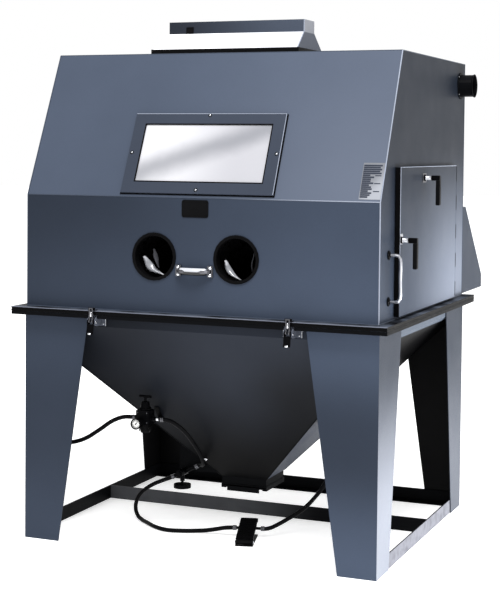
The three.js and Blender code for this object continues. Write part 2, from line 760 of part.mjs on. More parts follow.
function gauge() {
  const { x, y, z, r } = GAUGE;
  const profile = [[0, -6], [r - 2.5, -6], [r - 2.5, -12], [r, -12], [r, 12 - GAP], [0, 12 - GAP]];
  const points = profile.map(([radius, h]) => new THREE.Vector2(radius, h));
  const turnedCase = solid(along(new THREE.LatheGeometry(points, 24), [x, y, z], [x, y + 1, z]));
  add("gauge_case", turnedCase, plastic);
  const needle = prismY([[-1.2, -5], [1.2, -5], [0.5, 13], [-0.5, 13]], -9.2, -8.2);
  const hub = rod([0, -6 - GAP, 0], [0, -9.5, 0], 2.6, 10);
  const mesh = add("gauge_needle", join(needle, hub), plastic);
  mesh.position.set(x, y, z);
  mesh.rotation.y = THREE.MathUtils.degToRad(38);
}

const VALVE = { x: -238, y: -150, z: 200 };

function pedalLineValve() {
  const { x, y, z } = VALVE;
  const wallZ = z + 40;
  const outward = new THREE.Vector3(-1, 0, -slope).normalize();
  const mount = vector([-hopperHalfWidth(wallZ), y + 20, wallZ]).addScaledVector(outward, 3);
  const piece = join(
    rod([x, y - 30, z], [x, y + 30, z], 14, 10),
    rod([x, y, z - 12], [x, y, z - 34], 9, 10),
    rod([x + 8, y + 8, z], [x + 52, y + 8, z + 24], 6, 10),
    rod([x - 10, y, z - 4], [x - 32, y, z - 16], 6, 10),
    rod([x, y - 29, z], [x, y - 38, z], 8, 6),
    rod([x, y + 24, z + 6], mount.toArray(), 5, 6),
  );
  add("pedal_line_valve", piece, chrome);
  const wheel = join(
    rod([x, y, z - 34 - GAP], [x, y, z - 48], 5, 10),
    rod([x, y, z - 46], [x, y, z - 60], 34, 20),
  );
  add("valve_handle", wheel, chrome);
}

function airInlet() {
  const [y, z] = INLET;
  const inside = -halfW - GAP;
  const fitting = join(
    rod([inside - LEG_SHEET - 22, y, z], [inside + 24, y, z], 9, 12),
    rod([inside + GAP, y, z], [inside + 9, y, z], 14, 6),
    rod([inside - LEG_SHEET - 9, y, z], [inside - LEG_SHEET - GAP, y, z], 14, 6),
  );
  add("air_inlet_fitting", fitting, brass);
}

function hopperBulkhead() {
  const piece = (from, to, r, sides) => {
    const [p, q] = bulkheadLine(from, to);
    return rod(p, q, r, sides);
  };
  add("hopper_bulkhead", join(piece(-26, 26, 9, 12), piece(0.5, 10, 14, 6), piece(-14, -4.5, 14, 6)), brass);
}

// ---- Foot pedal ----

const PEDAL = { x: 92, y: -285, turn: 15, halfWidth: 33, length: 160, valve: 56, port: 33 };

// Drawn about its own middle, heel at the front, then turned on the floor.
function footPedal() {
  const place = new THREE.Group();
  place.position.set(PEDAL.x, PEDAL.y, 0);
  place.rotation.z = THREE.MathUtils.degToRad(PEDAL.turn);
  root.add(place);
  const w = PEDAL.halfWidth;
  const half = PEDAL.length / 2;
  const { valve, port } = PEDAL;
  const pivot = (x0, x1, r) => rod([x0, -half + 11, 13], [x1, -half + 11, 13], r);
  const ears = [-1, 1].map((s) => {
    const [x0, x1] = [s * (w - 4), s * w].sort((p, q) => p - q);
    return box([x0, x1], [-half + 2, -half + 20], [3, 20]);
  });
  const ports = [-1, 1].map((s) => rod([s * 18, valve, port], [s * 46, valve, port], 5.5, 10));
  const base = join(
    box([-w, w], [-half, half], [0, 4]),
    box([-20, 20], [valve - 12, valve + 14], [3, 38.5]),
    ...ports,
    ...ears,
    pivot(-w, w, 2.5),
  );
  add("pedal_base", cut(base, rod([0, valve, 10], [0, valve, 60], 6.5)), plastic, place);
  const rib = [[-half + 2, 17], [-half + 4, 21], [half - 2, 64], [half, 62], [half, 58], [-half + 20, 17],
    [-half + 16, 7], [-half + 6, 7], [-half + 3, 12]];
  const plate = [[-half + 12, 26], [half - 2, 65], [half + 2, 65], [half + 2, 52], [half - 2, 52],
    [half - 2, 59], [-half + 14, 21]];
  const body = cut(prismX(rib, -w + 4.5, w - 4.5), pivot(-w, w, 3.1));
  add("pedal_treadle", join(body, prismX(plate, -w, w)), plastic, place);
  add("pedal_plunger", rod([0, valve, 23], [0, valve, 47], 5.5, 10), chrome, place);
}

// ---- Blast gun, resting on the grate ----

function blastGun() {
  const z = frameTop + GAP + 10 + GAP;
  const body = box([0, 90], [-100, -66], [z, z + 34]);
  const nozzle = rod([-1 + 90, -83, z + 17], [150, -83, z + 17], 14, 12, 9);
  const grip = prismX([[-100, z], [-66, z], [-66, z + 26], [-100, z + 26]], -110, 1);
  const barbs = [-92, -74].map((y) => rod([-109, y, z + 13], [-138, y, z + 13], 6, 10));
  add("blast_gun", join(body, nozzle, grip, ...barbs), plastic);
}

// ---- Air hoses ----

const hoseRoutes = {
  hose_supply: [
    [-318.5, -395, 452],
    [-340, -395.5, 452],
    [-368, -398, 450],
    [-396, -401, 441],
    [-424, -405, 426],
    [-452, -410, 405],
    [-480, -416, 385],
    [-512, -423, 364],
    [-548, -431, 349],
    [-584, -441, 342],
    [-616, -456, 343],
    [-642, -469.4, 349.5],
    [-661.7, -470, 350],
  ],
  hose_regulator: [
    [-216.5, -395, 452],
    [-200, -394, 452],
    [-180, -382, 445],
    [-160, -358, 425],
    [-142, -330, 396],
    [-130, -300, 361],
    [-124, -270, 329],
    [-119, -246, 299],
    [-121, -220, 270],
    [-130, -196, 250],
    [-144, -172, 242],
    [-157, -151, 238],
    [-171.4, -142.4, 231.9],
    [-185.3, -142, 224.4],
  ],
  hose_pedal_in: [
    [-270.4, -150, 183.7],
    [-290, -150.5, 174],
    [-326, -152, 159],
    [-362, -154, 142],
    [-394, -156, 121],
    [-418, -158, 98],
    [-432, -161, 70],
    [-433, -166, 40],
    [-420, -174, 17],
    [-396, -192, 9],
    [-348, -232, 8.4],
    [-290, -276, 8.4],
    [-236, -296, 8.4],
    [-180, -286, 8.4],
    [-128, -266, 9],
    [-90, -255, 12],
    [-50, -251, 20],
    [-15, -250, 28.5],
    [12, -248.4, 32.3],
    [32.6, -242.9, 33],
  ],
  hose_pedal_out: [
    [122.4, -219, 33],
    [140, -214.2, 33],
    [156, -204, 36],
    [172, -186, 43],
    [190, -162, 53],
    [212, -140, 67],
    [240, -122, 86],
    [270, -110, 113],
    [295, -100, 143],
    [316, -90, 172],
    [338, -79, 210],
    [360, -66, 256],
    [378, -54, 302],
    [389, -43, 344],
    [386, -35, 378],
    [372, -31, 402],
    [352.2, -30, 421.6],
  ],
};

function hoses() {
  for (const [name, route] of Object.entries(hoseRoutes)) {
    add(name, tube(route, HOSE / 2, 2 * (route.length - 1)), rubber);
  }
}

legs();
rails();
hopper();
frameFlange();
hoodFlange();
hoodSeal();
workGrate();
outlet();
slideGate();
frontPanels();
windowParts();
roofAndRear();
sidePanels();
lightHousing();
lightSwitch();
exhaustSpigot();
airInletHood();
armRings();
gloves();
liftHandle();
pullHandle();
doorHinge();
door();
doorLevers();
latches();
regulator();
gauge();
pedalLineValve();
airInlet();
hopperBulkhead();
footPedal();
blastGun();
hoses();

// The origin is under the middle of the whole, on the floor.
const whole = new THREE.Box3().setFromObject(root);
const middle = whole.getCenter(new THREE.Vector3());
root.position.set(-middle.x, -middle.y, -whole.min.z);

export default root;
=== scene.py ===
"""Looks for a floor-standing sandblast cabinet, built round its solids. Metres, +X right, +Y back, +Z up."""

import json
import math

import bmesh
import bpy
from mathutils import Matrix, Vector


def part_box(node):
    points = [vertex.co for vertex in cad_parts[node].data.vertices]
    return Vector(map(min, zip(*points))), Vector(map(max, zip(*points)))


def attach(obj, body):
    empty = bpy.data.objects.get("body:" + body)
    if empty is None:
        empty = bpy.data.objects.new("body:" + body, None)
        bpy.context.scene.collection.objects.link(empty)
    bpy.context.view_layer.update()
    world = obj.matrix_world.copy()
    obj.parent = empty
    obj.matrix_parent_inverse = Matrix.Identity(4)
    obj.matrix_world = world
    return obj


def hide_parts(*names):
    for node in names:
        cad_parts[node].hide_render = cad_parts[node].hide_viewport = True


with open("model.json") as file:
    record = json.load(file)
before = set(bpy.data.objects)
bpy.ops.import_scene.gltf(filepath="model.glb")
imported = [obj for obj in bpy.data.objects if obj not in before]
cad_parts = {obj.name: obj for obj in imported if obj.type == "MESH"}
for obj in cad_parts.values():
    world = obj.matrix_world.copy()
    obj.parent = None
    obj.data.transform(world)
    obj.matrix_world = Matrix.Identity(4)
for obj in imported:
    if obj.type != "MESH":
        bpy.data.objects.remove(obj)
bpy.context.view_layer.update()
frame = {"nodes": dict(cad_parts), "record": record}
NODES = frame["nodes"]
MM = 0.001
LEFT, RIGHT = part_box("side_panel_left"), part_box("side_panel_right")
MIDDLE = Vector(((LEFT[0].x + RIGHT[1].x) / 2, (LEFT[0].y + RIGHT[1].y) / 2, 0))


def at(x, y, z):
    """A place in millimetres from the point on the floor under the middle of the hood."""
    return MIDDLE + MM * Vector((x, y, z))


# The cabinet's main sizes, in millimetres.
HALF_W = (RIGHT[1].x - LEFT[0].x) / 2 / MM
HALF_D = (RIGHT[1].y - RIGHT[0].y) / 2 / MM
HOOD_FOOT = 874
BEND = 1291
ROOF = 1820
SETBACK = 242
ARM_X, ARM_Z, ARM_R = 160, 1077, 76
HOSE = 16
FLANGE_REACH = 43
LATCH_X = (-388, 376)
SIDES = (("left", -1), ("right", 1))

# ---- Camera ----

YAW, PITCH, ROLL = 0.3847, -0.0420, 0.0095
STATION = (2121.8, -5220.8, 1469.1)
LENS, SENSOR = 86.358, 36
SHIFT = (-0.0126667, -0.1518333)


def make_camera():
    forward = Vector((-math.sin(YAW) * math.cos(PITCH), math.cos(YAW) * math.cos(PITCH), math.sin(PITCH)))
    flat = Vector((math.cos(YAW), math.sin(YAW), 0))
    upright = flat.cross(forward)
    right = flat * math.cos(ROLL) + upright * math.sin(ROLL)
    up = upright * math.cos(ROLL) - flat * math.sin(ROLL)
    data = bpy.data.cameras.new("camera")
    data.sensor_fit = "VERTICAL"
    data.sensor_height = SENSOR
    data.lens = LENS
    data.shift_x, data.shift_y = SHIFT
    data.clip_end = 100
    camera = bpy.data.objects.new("camera", data)
    turn = Matrix((right, up, -forward)).transposed().to_4x4()
    camera.matrix_world = Matrix.Translation(at(*STATION)) @ turn
    bpy.context.scene.collection.objects.link(camera)
    bpy.context.scene.camera = camera


make_camera()

# ---- Materials ----


class Look:
    """A Principled material with helpers for its node tree."""

    def __init__(self, name, color, roughness, metallic=0.0, coat=0.0, specular=0.5):
        self.material = bpy.data.materials.new(name)
        self.material.use_nodes = True
        self.nodes = self.material.node_tree.nodes
        self.links = self.material.node_tree.links
        self.shader = self.nodes["Principled BSDF"]
        self.color = color
        self.shader.inputs["Base Color"].default_value = (*color, 1)
        self.shader.inputs["Roughness"].default_value = roughness
        self.shader.inputs["Metallic"].default_value = metallic
        self.shader.inputs["Coat Weight"].default_value = coat
        self.shader.inputs["Specular IOR Level"].default_value = specular
        self.place = self.nodes.new("ShaderNodeTexCoord").outputs["Object"]

    def node(self, kind, settings=None, **inputs):
        made = self.nodes.new("ShaderNode" + kind)
        for key, value in (settings or {}).items():
            setattr(made, key, value)
        for key, value in inputs.items():
            self.feed(made.inputs[int(key[1:]) if key[1:].isdigit() else key.replace("_", " ")], value)
        return made

    def feed(self, socket, value):
        if isinstance(value, bpy.types.NodeSocket):
            self.links.new(value, socket)
        else:
            socket.default_value = value

    def math(self, operation, a, b=0.0):
        return self.node("Math", {"operation": operation}, i0=a, i1=b).outputs[0]

    def noise(self, scale, detail=4.0, rough=0.55):
        made = self.node("TexNoise", Scale=scale, Detail=detail, Roughness=rough)
        self.links.new(self.place, made.inputs["Vector"])
        return made.outputs["Fac"]

    def axis(self, index):
        return self.node("SeparateXYZ", i0=self.place).outputs[index]

    def normal(self, index):
        space = self.nodes.new("ShaderNodeTexCoord").outputs["Normal"]
        return self.node("SeparateXYZ", i0=space).outputs[index]

    def ramp(self, value, low, high):
        """Rises smoothly from 0 at low to 1 at high."""
        return self.node("MapRange", {"interpolation_type": "SMOOTHSTEP"},
                         Value=value, From_Min=low, From_Max=high).outputs["Result"]

    def across(self, index, start, finish):
        """Rises from 0 to 1 between two distances, in millimetres, along axis 0, 1 or 2."""
        low, high = (MIDDLE[index] + MM * end for end in (start, finish))
        return self.ramp(self.axis(index), low, high)

    def times(self, a, b):
        return self.math("MULTIPLY", a, b)

    def plus(self, a, b):
        return self.math("ADD", a, b)

    def rest_of(self, share):
        return self.math("SUBTRACT", 1.0, share)

    def mix(self, share, a, b):
        made = self.node("Mix", {"data_type": "RGBA"})
        self.feed(made.inputs["Factor"], share)
        for socket, value in ((made.inputs[6], a), (made.inputs[7], b)):
            self.feed(socket, (*value, 1) if isinstance(value, tuple) else value)
        return made.outputs[2]

    def paint(self, color):
        self.feed(self.shader.inputs["Base Color"], color)
        return self

    def scaled(self, factor):
        return tuple(min(1, c * factor) for c in self.color)

    def mottle(self, patches=2.5, grain=420, spread=0.16, fleck=0.22):
        """Broad uneven shading with a fine grain over it, as a colour."""
        broad = self.mix(self.noise(patches, 3), self.scaled(1 - spread), self.scaled(1 + spread))
        fine = self.ramp(self.noise(grain, 2, 0.7), 0.35, 0.65)
        self.tone = self.mix(self.times(fine, 0.35), broad, self.scaled(1 - fleck))
        return self.tone

    def dimmed(self, factor):
        """The mottled tone, made darker or lighter."""
        made = self.node("VectorMath", {"operation": "SCALE"}, i0=self.tone, Scale=factor)
        return made.outputs[0]

    def relief(self, scale, depth, detail=3):
        bump = self.node("Bump", Strength=1.0, Distance=depth, Height=self.noise(scale, detail))
        self.links.new(bump.outputs["Normal"], self.shader.inputs["Normal"])
        return self

    def sheen(self, scale, low, high):
        self.feed(self.shader.inputs["Roughness"],
                  self.node("MapRange", Value=self.noise(scale, 3), To_Min=low, To_Max=high).outputs[0])
        return self


BLUE_GREY = (0.022, 0.029, 0.044)
SLOPE_LIT_GREY = (0.16, 0.18, 0.23)
NEAR_BLACK = (0.0012, 0.0012, 0.0015)


def enamel(name, color=BLUE_GREY, rough=(0.34, 0.52)):
    look = Look(name, color, 0.42, specular=0.06)
    look.paint(look.mottle()).relief(700, 0.00025).sheen(6, *rough)
    return look


def panel_paint():
    """The cabinet's enamel with painted light: front faces painted darker at the left and paler to the right
    and low down; right-facing faces painted darker high up and paler low down, palest low down behind the
    door.
    """
    look = enamel("panel_enamel")
    # Right-facing faces get painted light: darker high up, paler low down.
    right = look.ramp(look.normal(0), 0.5, 0.9)
    low = look.across(2, 1500, 900)
    # Painted light: paler low down and towards the back on the right-facing faces.
    low_rear_painted_light = look.times(look.times(look.across(1, -330, 420), low), right)
    foot = look.across(2, BEND, HOOD_FOOT)
    # Painted light on the front faces: paler to the right and towards the hood's foot.
    painted_light_fade = look.plus(look.times(look.across(0, -686, 640), 0.75), look.times(foot, 0.35))
    front = look.mix(look.times(painted_light_fade, 0.9), look.dimmed(0.62), look.dimmed(1.75))
    tone = look.mix(right, front, look.mix(low, look.dimmed(0.45), look.dimmed(1.4)))
    return look.paint(look.mix(look.times(low_rear_painted_light, 0.72), tone, (0.185, 0.21, 0.265))).material


def slope_paint():
    """The same enamel on the sloping front, painted paler towards its right end and its foot as painted
    light.
    """
    look = enamel("slope_enamel", (0.042, 0.053, 0.077))
    low = look.plus(look.times(look.across(2, 1800, 1300), 0.6), 0.35)
    # Painted light: paler to the right and lower down the slope.
    pale = look.times(look.across(0, -250, 650), low)
    return look.paint(look.mix(look.times(pale, 0.25), look.tone, SLOPE_LIT_GREY)).material


def leg_paint():
    """Enamel outside, painted pale low down on the right-facing faces as painted light, and near-black on the
    faces that look inwards as painted shade.
    """
    look = enamel("leg_enamel")
    outside = []
    for index, half in ((0, HALF_W), (1, HALF_D)):
        away = look.math("ABSOLUTE", look.math("SUBTRACT", look.axis(index), MIDDLE[index]))
        outside.append(look.math("GREATER_THAN", away, (half + 2) * MM))
    share = look.math("MAXIMUM", *outside)
    right = look.times(look.ramp(look.normal(0), 0.5, 0.9), outside[0])
    near = look.plus(look.times(look.across(1, 100, -100), 0.7), 0.3)
    # Painted light: right-facing faces paler low down and towards the front.
    painted_side_light = look.times(look.times(right, near), look.times(look.across(2, 740, 160), 0.85))
    front = look.times(outside[1], look.rest_of(right))
    # Front faces are paler towards their top and foot, and on the legs to the right.
    ends = look.math("MAXIMUM", look.across(2, 500, 880), look.across(2, 420, 20))
    east = look.plus(look.times(look.across(0, -100, 100), 0.7), 0.3)
    lift = look.times(look.times(front, ends), east)
    tone = look.mix(lift, look.dimmed(0.86), look.dimmed(2.1))
    tone = look.mix(painted_side_light, tone, (0.26, 0.28, 0.33))
    # Inward-facing faces are near-black: painted shade.
    return look.paint(look.mix(share, NEAR_BLACK, tone)).material


def hopper_paint():
    """Dark enamel with painted shade and light: blue-grey under the flange, painted near-black towards the
    outlet, towards the left and low on the right; the right-facing wall painted paler up high and near-black
    low down, with a paler band under the flange.
    """
    look = enamel("hopper_enamel", (0.0150, 0.0185, 0.0270), (0.35, 0.55))
    # Painted shade: darker towards the outlet and the left, and in the shade patch low on the right.
    side = look.plus(look.times(look.across(0, -420, 150), 0.6), 0.4)
    shade = look.times(look.across(0, 60, 330), look.across(2, 800, 560))
    share = look.times(look.times(look.across(2, 240, 700), side), look.rest_of(look.times(shade, 0.7)))
    body = look.mix(share, NEAR_BLACK, look.tone)
    # Painted light and shade on the right-facing wall: paler up high, near-black low down, and a pale band
    # under the flange.
    outer = look.ramp(look.normal(0), 0.2, 0.5)
    wall = look.mix(look.across(2, 520, 400), NEAR_BLACK, look.scaled(1.8))
    tone = look.mix(outer, body, wall)
    lip = look.times(look.across(2, 792, 796), outer)
    return look.paint(look.mix(lip, tone, (0.075, 0.092, 0.12))).material


def flange_paint(name, painted_top_highlight):
    """Black enamel, painted paler in patches on the faces that look up as a painted highlight."""
    look = Look(name, NEAR_BLACK, 0.45, specular=0.04)
    up = look.ramp(look.normal(2), 0.6, 0.95)
    patchy = look.times(up, look.ramp(look.noise(9, 4), 0.3, 0.7))
    look.paint(look.mix(patchy, look.mottle(4, 500), painted_top_highlight)).relief(500, 0.0003).sheen(8, 0.35, 0.6)
    return look.material


def dark_metal(name, color=(0.0025, 0.0027, 0.0033), rough=(0.28, 0.5)):
    look = Look(name, color, 0.4, specular=0.02)
    look.paint(look.mottle(9, 700, 0.2, 0.3)).relief(420, 0.0003).sheen(14, *rough)
    return look.material


def rail_paint():
    """Black enamel on the floor rails, grey on the face towards the operator, more so to the left."""
    look = Look("rail_enamel", (0.003, 0.0032, 0.004), 0.4, specular=0.03)
    front = look.times(look.ramp(look.normal(1), -0.5, -0.9), look.across(0, 260, -120))
    front_face_grey = look.mix(look.noise(14, 4), (0.045, 0.047, 0.052), (0.075, 0.077, 0.083))
    look.paint(look.mix(front, look.mottle(9, 700, 0.2, 0.3), front_face_grey)).relief(420, 0.0003)
    return look.material


def pale_right_rail():
    """Rail paint, pale grey in patches on the face towards the right."""
    look = Look("pale_right_rail", (0.003, 0.0032, 0.004), 0.6, specular=0.04)
    face = look.ramp(look.normal(0), 0.5, 0.9)
    patches = look.ramp(look.noise(26, 5, 0.65), 0.30, 0.62)
    pale_patch_tone = look.mix(patches, (0.135, 0.14, 0.162), (0.205, 0.21, 0.24))
    look.paint(look.mix(face, look.mottle(9, 700, 0.2, 0.3), pale_patch_tone)).relief(120, 0.0008)
    return look.material


def plated(name, color=(0.62, 0.63, 0.66), rough=(0.08, 0.26)):
    look = Look(name, color, 0.15, metallic=1.0)
    look.paint(look.mottle(30, 900, 0.08, 0.12)).relief(900, 0.00006).sheen(40, *rough)
    return look.material


def rubber_look(name, color=(0.002, 0.002, 0.0023), rough=(0.3, 0.5), grain=260, depth=0.0004):
    look = Look(name, color, 0.4, specular=0.03)
    look.paint(look.mottle(12, grain, 0.3, 0.3)).relief(grain, depth).sheen(10, *rough)
    return look.material


def seam_paint():
    """The folded edge across the front, painted paler towards its right end as a painted highlight."""
    look = enamel("bend_edge_enamel", (0.036, 0.045, 0.064), (0.2, 0.35))
    return look.paint(look.mix(look.across(0, 60, 560), look.tone, (0.20, 0.22, 0.27))).material


def grip_look(z):
    """A lacquered grip painted pale above the height z as a painted reflection, and black below it as painted
    shade.
    """
    look = Look("grip_lit_and_shaded", (0.4, 0.41, 0.44), 0.2, specular=0.4)
    lit_upper = look.across(2, z - 2, z + 3)
    return look.paint(look.mix(lit_upper, NEAR_BLACK, look.mottle(40, 600, 0.1, 0.1))).material


def fold_look():
    """Rubber painted pale for the folds: a painted highlight."""
    look = Look("fold_highlight_rubber", (0.28, 0.285, 0.31), 0.3, coat=0.2)
    look.paint(look.mix(look.ramp(look.noise(22, 3), 0.3, 0.6), (0.34, 0.345, 0.37), (0.15, 0.155, 0.17)))
    return look.relief(50, 0.0006).sheen(20, 0.15, 0.35).material


def pane_look():
    """A milky pane with one soft grey streak across it, from low on the left to high on the right."""
    look = Look("window_pane", (0.50, 0.50, 0.52), 0.14, specular=0.3)
    start, finish = Vector((-202, 112)), Vector((237, 272))
    along = (finish - start).normalized()
    rise = math.hypot(SETBACK, ROOF - BEND) / (ROOF - BEND)
    u = look.times(look.plus(look.axis(0), -MIDDLE.x), 1 / MM)
    v = look.times(look.plus(look.axis(2), -BEND * MM), rise / MM)
    off = look.math("SUBTRACT", look.times(look.plus(v, -start.y), along.x),
                    look.times(look.plus(u, -start.x), along.y))
    cloudy = look.plus(off, look.times(look.plus(look.noise(7, 3), -0.5), 36))
    streak = look.rest_of(look.ramp(look.math("ABSOLUTE", cloudy), 0, 74))
    milk = look.mix(look.ramp(u, -150, 150), (0.40, 0.40, 0.42), (0.285, 0.285, 0.305))
    tone = look.mix(look.times(streak, 0.66), milk, (0.11, 0.115, 0.13))
    fleck = look.ramp(look.noise(55, 5, 0.7), 0.70, 0.78)
    look.paint(look.mix(look.times(fleck, 0.4), tone, (0.22, 0.23, 0.25)))
    return look.material


def lamp_cover_look():
    """Grey enamel on the upright faces, painted darker at the left and paler at the right as painted light,
    and white on the sloping skirt as a painted reflection.
    """
    look = Look("lamp_cover", (0.026, 0.032, 0.045), 0.4, specular=0.08)
    tilt = look.math("ABSOLUTE", look.normal(2))
    skirt = look.times(look.ramp(tilt, 0.25, 0.4), look.ramp(tilt, 0.97, 0.9))
    # Painted light: darker to the left and paler to the right; grain below carries this with the speckle.
    painted_light_fade = look.mix(look.across(0, -260, 280), look.scaled(0.4), look.scaled(1.5))
    speckle = look.times(look.ramp(look.noise(420, 2, 0.7), 0.35, 0.65), 0.25)
    grain = look.mix(speckle, painted_light_fade, look.scaled(0.7))
    # The right end is darker low down and paler above z 1900.
    end = look.ramp(look.normal(0), 0.4, 0.7)
    cap = look.mix(look.across(2, 1896, 1900), (0.075, 0.085, 0.11), (0.26, 0.27, 0.30))
    grain = look.mix(end, grain, cap)
    # Painted reflection: the sloping skirt is white, whiter to the left.
    white = look.mix(look.across(0, -100, 290), (0.60, 0.60, 0.61), (0.40, 0.40, 0.43))
    skirt = look.times(skirt, look.rest_of(end))
    look.paint(look.mix(skirt, grain, white)).relief(600, 0.0002).sheen(8, 0.28, 0.5)
    return look.material


def label_stock():
    """Label stock, greyer at its upper left corner."""
    look = Look("label_stock", (0.085, 0.09, 0.105), 0.4)
    diagonal = look.math("SUBTRACT", look.axis(0), look.axis(2))
    grey, pale = (MIDDLE.x + MM * (645 - height) for height in (1385, 1300))
    share = look.ramp(diagonal, grey, pale)
    return look.paint(look.mix(share, look.mottle(30, 500, 0.12, 0.2), (0.19, 0.20, 0.225))).material


PANEL = panel_paint()
SLOPE = slope_paint()
LEG = leg_paint()
PAINT = enamel("plain_enamel").material
# Pale enamels for thin bars along edges: painted edge highlights, the second one fainter.
EDGE_HIGHLIGHT = enamel("edge_highlight_enamel", (0.20, 0.22, 0.27), (0.15, 0.3)).material
FAINT_EDGE = enamel("soft_edge_enamel", (0.036, 0.045, 0.064), (0.25, 0.4)).material
FRAME_PAINT = enamel("frame_enamel", (0.027, 0.033, 0.047), (0.3, 0.45)).material
HOPPER = hopper_paint()
FLANGE_TOP = flange_paint("highlit_flange", (0.060, 0.070, 0.092))
FLANGE_LOW = flange_paint("lower_flange", (0.012, 0.014, 0.018))
DARK = dark_metal("black_enamel")
RAIL = rail_paint()
PALE_RIGHT_RAIL = pale_right_rail()
CAST = dark_metal("black_casting", (0.002, 0.002, 0.0025), (0.2, 0.4))
CHROME = plated("bright_plating")
STEEL = plated("dull_plating", (0.42, 0.43, 0.46), (0.22, 0.42))
BRASS = plated("machined_brass", (0.50, 0.46, 0.40), (0.15, 0.3))
RUBBER = rubber_look("black_rubber")
GLOVE = rubber_look("glove_rubber", (0.002, 0.002, 0.0023), (0.14, 0.3), 90, 0.0008)
GLOSS_BLACK = rubber_look("gloss_black", (0.002, 0.002, 0.0023), (0.08, 0.18), 500, 0.0001)
HOSE_LOOK = rubber_look("hose_rubber", (0.003, 0.003, 0.0035), (0.3, 0.45), 700, 0.0002)
PLASTIC = rubber_look("black_plastic", (0.003, 0.003, 0.0034), (0.3, 0.45), 900, 0.0002)
WHITE = Look("dial_white", (0.84, 0.84, 0.82), 0.35)
WHITE = WHITE.paint(WHITE.mottle(40, 600, 0.03, 0.05)).material
PALE = label_stock()
INK = dark_metal("label_ink", (0.022, 0.026, 0.038), (0.4, 0.5))
PANE = pane_look()
BEND_EDGE = seam_paint()
# A paler enamel for the hood flange's front edge: a painted highlight.
FLANGE_EDGE = enamel("flange_edge_enamel", (0.11, 0.12, 0.15), (0.2, 0.4)).material
FOLD_HIGHLIGHT = fold_look()
# A dim grey rubber for the fainter painted highlights on the folds.
DIM_FOLD = rubber_look("dim_fold", (0.032, 0.033, 0.038), (0.25, 0.4), 60, 0.0005)
LATCH_PLATE_GREY = enamel("latch_plate_grey", (0.075, 0.083, 0.105), (0.3, 0.5)).material
DULL = plated("dark_plating", (0.10, 0.10, 0.11), (0.25, 0.45))
LAMP = lamp_cover_look()
GLOW = Look("lamp_tube_glass", (0.9, 0.9, 0.92), 0.2)
GLOW = GLOW.paint(GLOW.mottle(20, 300, 0.02, 0.04)).material

BY_SLOT = {"paint": PAINT, "dark_paint": DARK, "rubber": RUBBER, "chrome": CHROME, "glass": PANE,
           "white": LAMP, "brass": BRASS, "plastic": PLASTIC}
BY_NODE = {
    "front_panel": PANEL, "side_panel_left": PANEL, "side_panel_right": PANEL, "rear_panel": PANEL,
    "roof_panel": PANEL, "door_panel": PANEL, "sloping_front": SLOPE, "window_frame": FRAME_PAINT,
    # The door hinge is black as painted shade of the gap behind the door.
    "door_hinge": DARK, "hopper": HOPPER, "hood_flange": FLANGE_TOP, "frame_flange": FLANGE_LOW,
    "rail_cross": RAIL, "rail_rear": DARK, "rail_left": DARK, "rail_right": PALE_RIGHT_RAIL,
    "regulator_body": CAST, "regulator_knob": CAST, "pedal_line_valve": CAST,
    "latch_base_left": LATCH_PLATE_GREY, "latch_base_right": LATCH_PLATE_GREY,
    "pull_handle": STEEL, "lift_handle": DULL, "valve_handle": CAST, "latch_hook_left": DULL,
    "latch_hook_right": DULL, "door_lever_top": CAST, "door_lever_front": CAST, "gauge_case": GLOSS_BLACK,
    "latch_lever_left": CAST, "latch_lever_right": CAST, "exhaust_spigot": DARK,
}


def dress_frame():
    slots = {s["node"]: s["material_slot"] for s in frame["record"]["subparts"]}
    for name, thing in NODES.items():
        look = LEG if name.startswith("leg_") else BY_NODE.get(name, BY_SLOT[slots[name]])
        thing.data.materials.clear()
        thing.data.materials.append(look)


dress_frame()

# ---- Making pieces ----


def piece(name, data, look, body):
    thing = bpy.data.objects.new(name, data)
    bpy.context.scene.collection.objects.link(thing)
    data.materials.append(look)
    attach(thing, body)
    return thing


def finished(name, form, look, body, smooth=True, bevel=0.0, segments=2):
    """Turns a bmesh into a piece, with its faces pointing out."""
    bmesh.ops.recalc_face_normals(form, faces=form.faces)
    mesh = bpy.data.meshes.new(name)
    form.to_mesh(mesh)
    form.free()
    for face in mesh.polygons:
        face.use_smooth = smooth
    thing = piece(name, mesh, look, body)
    if bevel:
        soften = thing.modifiers.new("bevel", "BEVEL")
        soften.width = bevel * MM
        soften.segments = segments
        soften.limit_method = "ANGLE"
        soften.angle_limit = math.radians(35)
        soften.harden_normals = smooth
    return thing


def add_prism(form, low, high):
    """Joins two loops of corners, given as places, with sides and two ends."""
    low, high = ([form.verts.new(place) for place in loop] for loop in (low, high))
    form.faces.new(low[::-1])
    form.faces.new(high)
    for i in range(len(low)):
        j = (i + 1) % len(low)
        form.faces.new([low[i], low[j], high[j], high[i]])


def add_block(form, low, high):
    """A block between two corners, in millimetres."""
    foot, top = ([at(x, y, z) for x, y in ((low[0], low[1]), (high[0], low[1]), (high[0], high[1]),
                                           (low[0], high[1]))] for z in (low[2], high[2]))
    add_prism(form, foot, top)


def add_skin(form, rings):
    """Quads between closed rings of the same number of corners."""
    for a, b in zip(rings, rings[1:]):
        for j in range(len(a)):
            k = (j + 1) % len(a)
            form.faces.new([a[j], a[k], b[k], b[j]])


